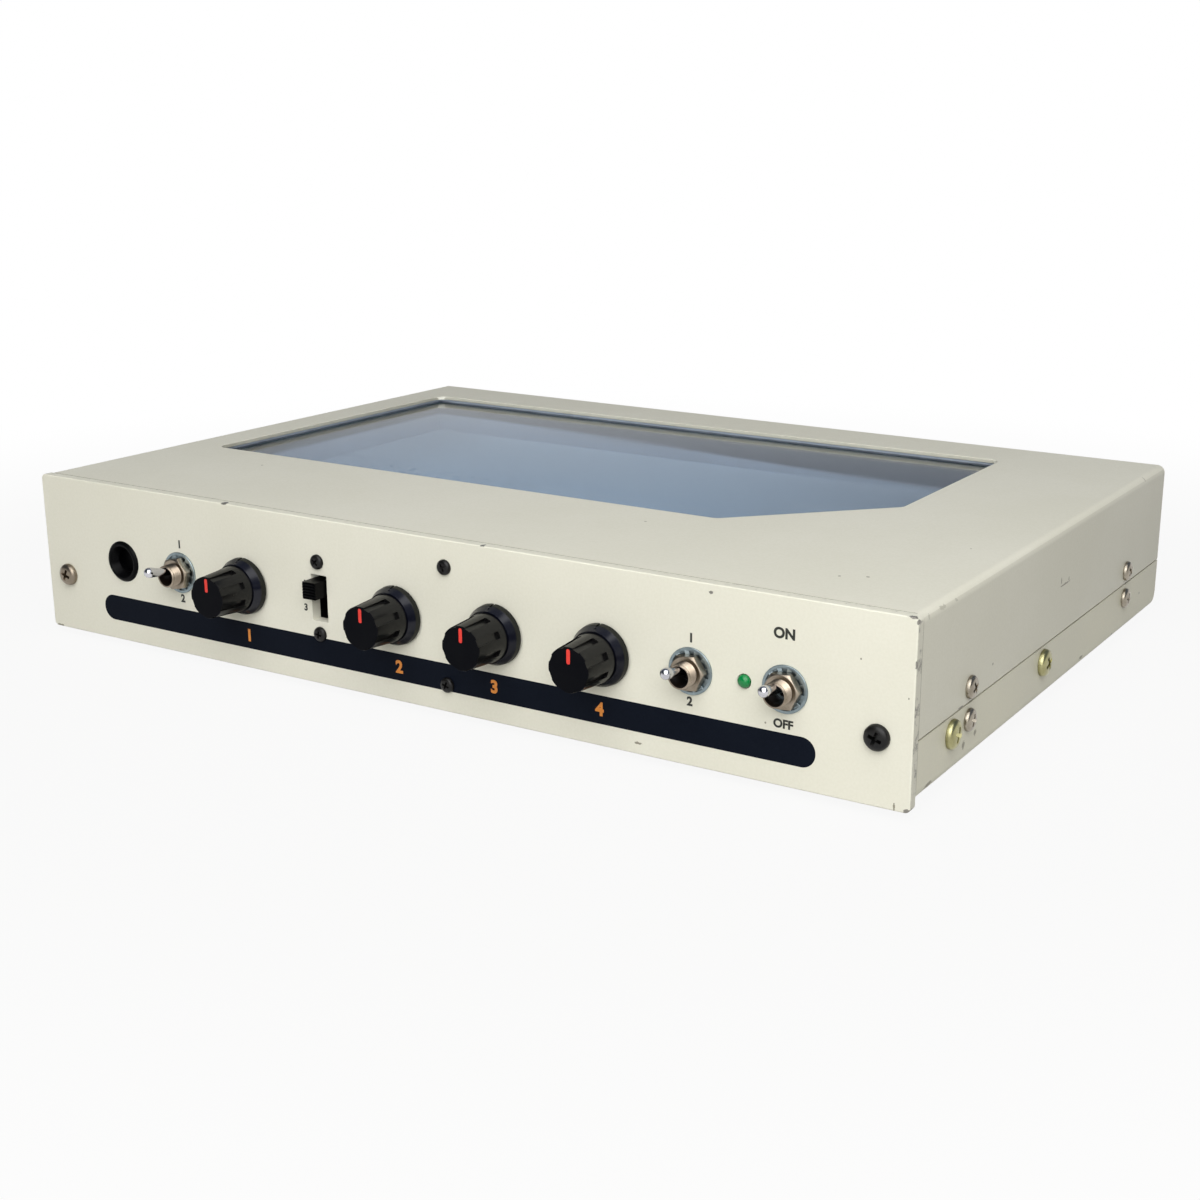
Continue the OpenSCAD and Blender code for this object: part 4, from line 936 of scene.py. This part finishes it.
for kind, x in KNOBS.items():
    at = (x, 0, CONTROL_Z)
    body = "knob_" + kind
    fit(copied(knob, body + "_cap", at), "black_plastic", body, body=body, finish="knob_plastic")
    fit(copied(pointer, body + "_pointer", at), "black_plastic", body=body, finish="pointer_red")
scrap(knob, pointer)

# ------------ toggles

WASHER_STEPS = [(0, 5.5), (0.08, 5.6), (0.42, 5.6), (0.52, 5.5)]
TEETH = 12
TWIST = math.radians(22)
washer = turned("washer_blank", WASHER_STEPS, 64)
cut(washer, bench_bar(4.85, 0.06, 2, 64))
soften(washer, 0.06, 1, 60)
tooth = bench_block("tooth", (-0.58, -0.46, 3.4), (0.58, -0.2, 5))
resize_faces(tooth, lambda mid, way: way.z < -0.9, (0.8, 1, 1), (0, -0.3 * MM, 3.4 * MM))
tooth.rotation_euler = (0, 0, TWIST)
soften(freeze(tooth), 0.06, 1)
washer = shade(joined("washer", [washer] + ring_of(tooth, TEETH)))


def hex_nut(across, thick, bore):
    """A hex nut with its outer corners turned off, standing on the bench."""
    corner_r = across / math.sqrt(3)
    nut = bench_bar(corner_r, 0, thick, 6)
    crown = turned("crown", [(-0.5, corner_r * 1.05), (thick - 0.12 * across / 2, corner_r * 1.05),
                             (thick, across / 2 * 0.97)], 64)
    cut(nut, crown, operation="INTERSECT")
    cut(nut, bench_bar(bore, -1, thick + 1))
    soften(nut, 0.07, 2, 28)
    return shade(nut, 25)


THREAD_R = 2.98
THREAD_PITCH = 0.62
toggle_nut = hex_nut(8, 2, 2.95)
bushing_steps = [(-3.6, THREAD_R), (2.1, THREAD_R)]
for ridge in range(5):
    start = 2.1 + ridge * THREAD_PITCH
    bushing_steps += [(start + 0.22, 2.64), (start + 0.34, 2.64), (start + 0.54, THREAD_R)]
bushing_steps += [(5.3, 2.96), (5.5, 2.8), (5.5, 2.56), (5.3, 2.45), (-3.3, 2.45)]
bushing = shade(turned("bushing", bushing_steps, 56), 16)

BALL_R = 2.38
BALL_BACK = 0.5
TIP_OUT = 11.65
TIP_R = 1.38
lever_steps = [(-3.1, 0.7), (-2.9, 0.85)] + arc(0, BALL_R, range(-68, 66, 12))
lever_steps += [(2.5, 1.02), (4.5, 1), (6.5, 1.06), (8.5, 1.16), (10.2, 1.28), (11.4, TIP_R)]
lever_steps += arc(TIP_OUT, TIP_R, (12, 28, 44, 58, 70, 80))
lever = shade(turned("lever", lever_steps, 40), 40)

washers = []
nuts = []
bushings = []
for kind, (x, back) in TOGGLES.items():
    washers.append(copied(washer, "washer", (x, 0, CONTROL_Z), (0, math.radians(x), 0)))
    nuts.append(copied(toggle_nut, "nut", (x, -0.6, CONTROL_Z), (0, math.radians(22 + x / 20), 0)))
    bushings.append(copied(bushing, "bushing", (x, 0, CONTROL_Z)))
    name = "lever_" + kind
    made = copied(lever, name + "_bat", (x, back + BALL_BACK, CONTROL_Z), (-LEVER_LEAN, 0, 0))
    fit(made, "head_steel", name, body=name, finish="lever_chrome")
scrap(washer, toggle_nut, bushing, lever)
fit(joined("lock_washers", washers), "blue_zinc", "toggle_washers")
fit(joined("toggle_hex_nuts", nuts), "tinted_nickel", "toggle_nuts")
fit(joined("toggle_threads", bushings), "tinted_nickel", "toggle_bushings",
    finish="threaded_nickel")

# ------------ screws

# A pan head's outline: (share of the height, share of the radius)
PAN_HEAD = [(0, 0.95), (0.1, 1), (0.4, 0.995), (0.64, 0.94), (0.82, 0.82), (0.94, 0.62), (0.99, 0.36),
            (1, 0.12)]
CROSS_TURNS = (20, 62, 8, 41, 75, 30, 53, 12)


def pan_screw(radius, height, shank_r, shank_len):
    """A pan-head screw with a cross recess and a short shank, head outwards."""
    profile = [(-shank_len, shank_r * 0.8), (0.3 - shank_len, shank_r), (-0.02, shank_r)]
    profile += [(height * up, radius * out) for up, out in PAN_HEAD]
    screw = turned("screw", profile, 40)
    for turn in (0, QUARTER):
        wing = bench_block("wing", (-radius * 0.16, -height * 1.4, -radius * 0.7),
                           (radius * 0.16, -height * 0.24, radius * 0.7))
        resize_faces(wing, lambda mid, way: way.y > 0.9, (0.6, 1, 0.4), (0, -height * 0.3 * MM, 0))
        wing.rotation_euler = (0, turn, 0)
        cut(screw, freeze(wing))
    return shade(screw, 34)


def screw_set(name, master, places, slot, node):
    """Copies of one screw at (x, y, z, facing), with their crosses turned differently."""
    made = []
    for i, (x, y, z, facing) in enumerate(places):
        turn = (0, math.radians(CROSS_TURNS[i % len(CROSS_TURNS)]), facing)
        made.append(copied(master, "screw", (x, y, z), turn))
    fit(joined(name, made), slot, node)


end_screw = pan_screw(3.05, 1.87, 1.5, 10)
for side, name, slot in ((-1, "left", "tinted_nickel"), (1, "right", "black_steel")):
    screw_set("end_screw_" + name, end_screw, [(side * END_SCREW[0], 0, END_SCREW[1], FRONT)], slot,
              "panel_screw_" + name)
small_screw = pan_screw(1.95, 1.18, 1, 5)
screw_set("small_panel_screws", small_screw, [(x, 0, z, FRONT) for x, z in SMALL_SCREWS],
          "black_steel", "small_black_screws")
side_screw = pan_screw(2.75, 1.55, 1.5, 7)
sides = ((CASE_HALF, RIGHT), (-CASE_HALF, LEFT))
screw_set("side_pan_screws", side_screw,
          [(x, y, z, facing) for x, facing in sides for y in SIDE_SCREW_YS for z in SIDE_SCREW_ZS],
          "bright_steel", "side_screws")
strap_screw = pan_screw(3.5, 1.95, 1.9, 7)
screw_set("strap_pan_screws", strap_screw,
          [(x, y, STRAP_SCREW_Z, facing) for x, facing in sides for y in STRAP_SCREW_YS],
          "yellow_zinc", "strap_screws")
screw_set("rear_pan_screws", side_screw,
          [(side * END_SCREW[0], REAR_OUT, z, REAR) for side in (-1, 1) for z in REAR_SCREW_ZS],
          "bright_steel", "rear_screws")
scrap(end_screw, small_screw, side_screw, strap_screw)

# ------------ sockets, lamp, slider, feet

JACK_STEPS = [(-3, 4.9), (0, 4.9), (0, 5.7), (0.08, 5.7), (0.62, 5.14), (0.69, 5), (0.69, 4.5),
              (0.6, 4.34), (-1.3, 3.24), (-1.4, 3.2), (-14, 3.2)]
nose = moved(turned("nose", JACK_STEPS, 64), "jack_nose", (JACK_X, 0, CONTROL_Z))
shell = soften(block("jack_body", (-110.1, 3.1, 14.6), (-94.1, 26, 28.6)), 0.6, 3)
fit(shade(joined("input_socket", [nose, shell])), "black_plastic", "input_jack")

THREAD_OUT = [(-3, 4.95), (1.5, 4.95), (1.7, 4.72), (1.8, 4.72), (2, 4.98), (2.15, 4.98),
              (2.35, 4.72), (2.45, 4.72), (2.65, 4.98), (2.8, 4.98), (3, 4.72), (3.1, 4.72),
              (3.3, 4.98), (3.69, 4.7), (3.69, 4.4), (2, 3.2), (-9, 3.2)]
socket = shade(turned("socket", THREAD_OUT, 56), 28)
rear_nut = hex_nut(13, 2, 4.9)
sockets = []
nuts = []
for x in REAR_JACK_XS:
    sockets.append(copied(socket, "socket", (x, REAR_OUT, SOCKET_Z), (0, 0, REAR)))
    sockets.append(soften(block("socket_body", (x - 8, 156.4, 12.7), (x + 8, 178, 25.8)), 0.5))
    nuts.append(copied(rear_nut, "nut", (x, REAR_OUT, SOCKET_Z), (0, math.radians(x), REAR)))
fit(shade(joined("rear_sockets", sockets)), "black_plastic", "rear_jacks")
fit(joined("rear_socket_nuts", nuts), "bright_steel", "rear_jack_nuts")
scrap(socket, rear_nut)

INLET_STEPS = [(-14, 4.4), (1, 4.4), (1.18, 4.25), (1.18, 3), (1, 2.82), (-9, 2.8), (-9, 1.05),
               (-0.3, 1), (-0.05, 0.75)]
inlet = moved(turned("inlet", INLET_STEPS), "inlet_ring", (INLET_X, REAR_OUT, SOCKET_Z), (0, 0, REAR))
shell = soften(block("inlet_body", (89.6, 166.4, 15.5), (98.4, 178, 25.3)), 0.5)
fit(shade(joined("inlet_socket", [inlet, shell])), "black_plastic", "power_inlet")

LAMP_STEPS = [(-3.8, 1.6), (-0.1, 1.6), (0, 1.62), (0.25, 1.6), (0.5, 1.5), (0.75, 1.32), (0.95, 1.08),
              (1.1, 0.78), (1.2, 0.44), (1.23, 0.15)]
lamp = moved(turned("lamp", LAMP_STEPS, 40), "pilot_lamp", (LED_X, 0, CONTROL_Z))
fit(shade(lamp, 60), "green_lens", "power_led")

# Slider with cross ribs on its face
SLIDER_FACE = -3.9
VALLEYS = 6
VALLEY_LOW = 24.05
VALLEY_STEP = 0.76
VALLEY_SIZE = 0.42
slider = block("slider", (-33.9, SLIDER_FACE, 23.7), (-29.6, 6.5, 28.2))
soften(slider, 0.18)
valleys = []
for i in range(VALLEYS):
    only()
    bpy.ops.mesh.primitive_cube_add(
        size=VALLEY_SIZE * MM, location=place(SLOT_X, SLIDER_FACE - 0.02, VALLEY_LOW + i * VALLEY_STEP),
        rotation=(QUARTER / 2, 0, 0))
    obj = bpy.context.object
    obj.scale = (14, 1, 1)
    valleys.append(freeze(obj))
cut(slider, joined("valleys", valleys))
fit(shade(slider), "black_plastic", "mode_slider", body="mode_slider")

# Feet
FOOT_STEPS = [(0, 7), (0.4, 6.98), (3.2, 6.5), (3.8, 6.2), (4, 5.8), (4, 3.3), (3.8, 3.05),
              (1.6, 3.05)]
foot = turned("foot", FOOT_STEPS, 56)
feet = [copied(foot, "foot", (side * FOOT_X, y, FLOOR_UNDER), (QUARTER, 0, 0))
        for side in (-1, 1) for y in FOOT_YS]
scrap(foot)
fit(shade(joined("foot_pads", feet)), "dark_rubber", "rubber_feet")

# ------------ parts kept from the CAD model

# Each is (node, name, slot), and then its rounding in mm, its body and its finish where they differ
KEPT = [
    ("window_glass", "glass_pane", "clear_glass", 0.2),
    ("window_gasket", "pane_seal", "dark_rubber", 0, "case", "seal_rubber"),
    ("deck_plate", "deck_sheet", "deck_paint"),
    ("chamber_wall", "deck_wall", "dark_wall", 0.1),
    ("side_rail_left", "rail_left", "aluminium"),
    ("side_rail_right", "rail_right", "aluminium"),
    ("centre_bracket", "bracket", "aluminium"),
    ("foot_screws", "foot_bolts", "bright_steel"),
    ("deck_screws", "deck_bolts", "bright_steel"),
    ("pot_bodies", "pots", "bright_steel"),
    ("pot_nuts", "pot_rings", "bright_steel"),
    ("toggle_bodies", "toggle_cases", "red_plastic", 0.3),
    # The slide switch's steel frame gets black plastic as painted shade, so the slot's inside reads dark
    ("mode_switch_body", "slide_switch_frame", "bright_steel", 0, "case", "black_plastic"),
    ("main_board", "circuit_board", "board_green"),
    ("tape_loop", "tape", "tape_brown"),
    ("erase_head", "erasing_head", "dark_wall", 0.25, "case", "black_plastic"),
    ("echo_heads", "sound_heads", "head_steel", 0.25),
    ("capstan_shaft", "capstan_pin", "head_steel", 0.1, "capstan"),
    ("flywheel", "flywheel_disc", "brass", 0.3, "capstan"),
    ("capstan_bearing", "bearing", "bronze", 0.15),
    ("drive_motor", "motor", "bright_steel", 0.3),
    ("motor_pulley", "pulley", "brass", 0, "motor_rotor"),
    ("drive_belt", "belt", "dark_rubber"),
    ("pinch_arm", "arm", "bright_steel", 0.12, "pinch_arm"),
    ("pinch_spring", "arm_spring", "bright_steel", 0, "pinch_arm"),
    ("pinch_roller", "pinch_wheel", "dark_rubber", 0.2, "pinch_roller"),
    ("roller_left", "guide_wheel_left", "white_plastic", 0.15, "roller_left"),
    ("roller_right", "guide_wheel_right", "white_plastic", 0.15, "roller_right"),
    ("deck_posts", "deck_pins", "bright_steel"),
]
KEPT += [("shaft_" + kind, "shaft_pin_" + kind, "aluminium", 0, "knob_" + kind) for kind in KNOBS]
for row in KEPT:
    refined(*row)

# ------------ studio

FLOOR_HALF = 12


def rays_seen(tree):
    """Whether a ray comes from the camera, a mirror or a pane, and whether it is the camera's."""
    path = add(tree, "LightPath").outputs
    seen = most(tree, path["Is Camera Ray"], path["Is Glossy Ray"], path["Is Transmission Ray"])
    return seen, path["Is Camera Ray"]


# Floor: plain and pale, lifted to white away from the unit's shadow
only()
bpy.ops.mesh.primitive_plane_add(size=FLOOR_HALF * 2, location=(0, 0, 0))
floor = bpy.context.object
floor.name = "floor"
tree, shader, where = new_finish("pale_floor")
wire(tree, shader, {"Base Color": (0.4, 0.395, 0.37, 1), "Roughness": 0.9, "Specular IOR Level": 0})
seen = rays_seen(tree)[0]
white = add(tree, "Emission", {"Color": (1, 1, 1, 1), "Strength": 1})
lift = spread(tree, reckon(tree, "LENGTH", where), 0.18, 0.42, 0.92, 1)
two_surfaces(tree, times(tree, seen, lift), shader, white)
floor.data.materials.append(FINISHES["pale_floor"])


def soft_lamp(name, at, size, power):
    """A square soft lamp at a place in metres, aimed at the unit's middle."""
    lamp = put(name, bpy.data.lights.new(name, "AREA"))
    lamp.location = at
    lamp.rotation_mode = "QUATERNION"
    lamp.rotation_quaternion = (Vector((0, 0, 0.02)) - Vector(at)).to_track_quat("-Z", "Y")
    lamp.data.size = size
    lamp.data.energy = power


soft_lamp("key_lamp", (0.42, -0.75, 0.42), 0.9, 4.4)
soft_lamp("top_lamp", (0.25, -0.42, 0.55), 0.85, 5.5)

# World: white to the camera, a darker room in the glass, and a faint fill for everything else
world = bpy.data.worlds.new("studio")
bpy.context.scene.world = world
world.use_nodes = True
tree = world.node_tree
seen, from_eye = rays_seen(tree)
towards = add(tree, "TexCoord").outputs["Generated"]
height = spread(tree, part_of(tree, towards, "Z"), 0.1, 0.24)
room = blended(tree, height, (1, 1, 1, 1), (0.17, 0.2, 0.25, 1))
behind = spread(tree, part_of(tree, towards, "Y"), -0.4, 0.3, 0.35, 1)
bright = add(tree, "Background", {"Color": blended(tree, from_eye, room, (1, 1, 1, 1)),
                                            "Strength": sum_up(tree, "MAXIMUM", behind, from_eye)})
soft = add(tree, "Background", {"Color": (1, 0.98, 0.9, 1), "Strength": 0.09})
two_surfaces(tree, seen, soft, bright, "World Output")
bpy.context.scene.view_settings.view_transform = "Standard"
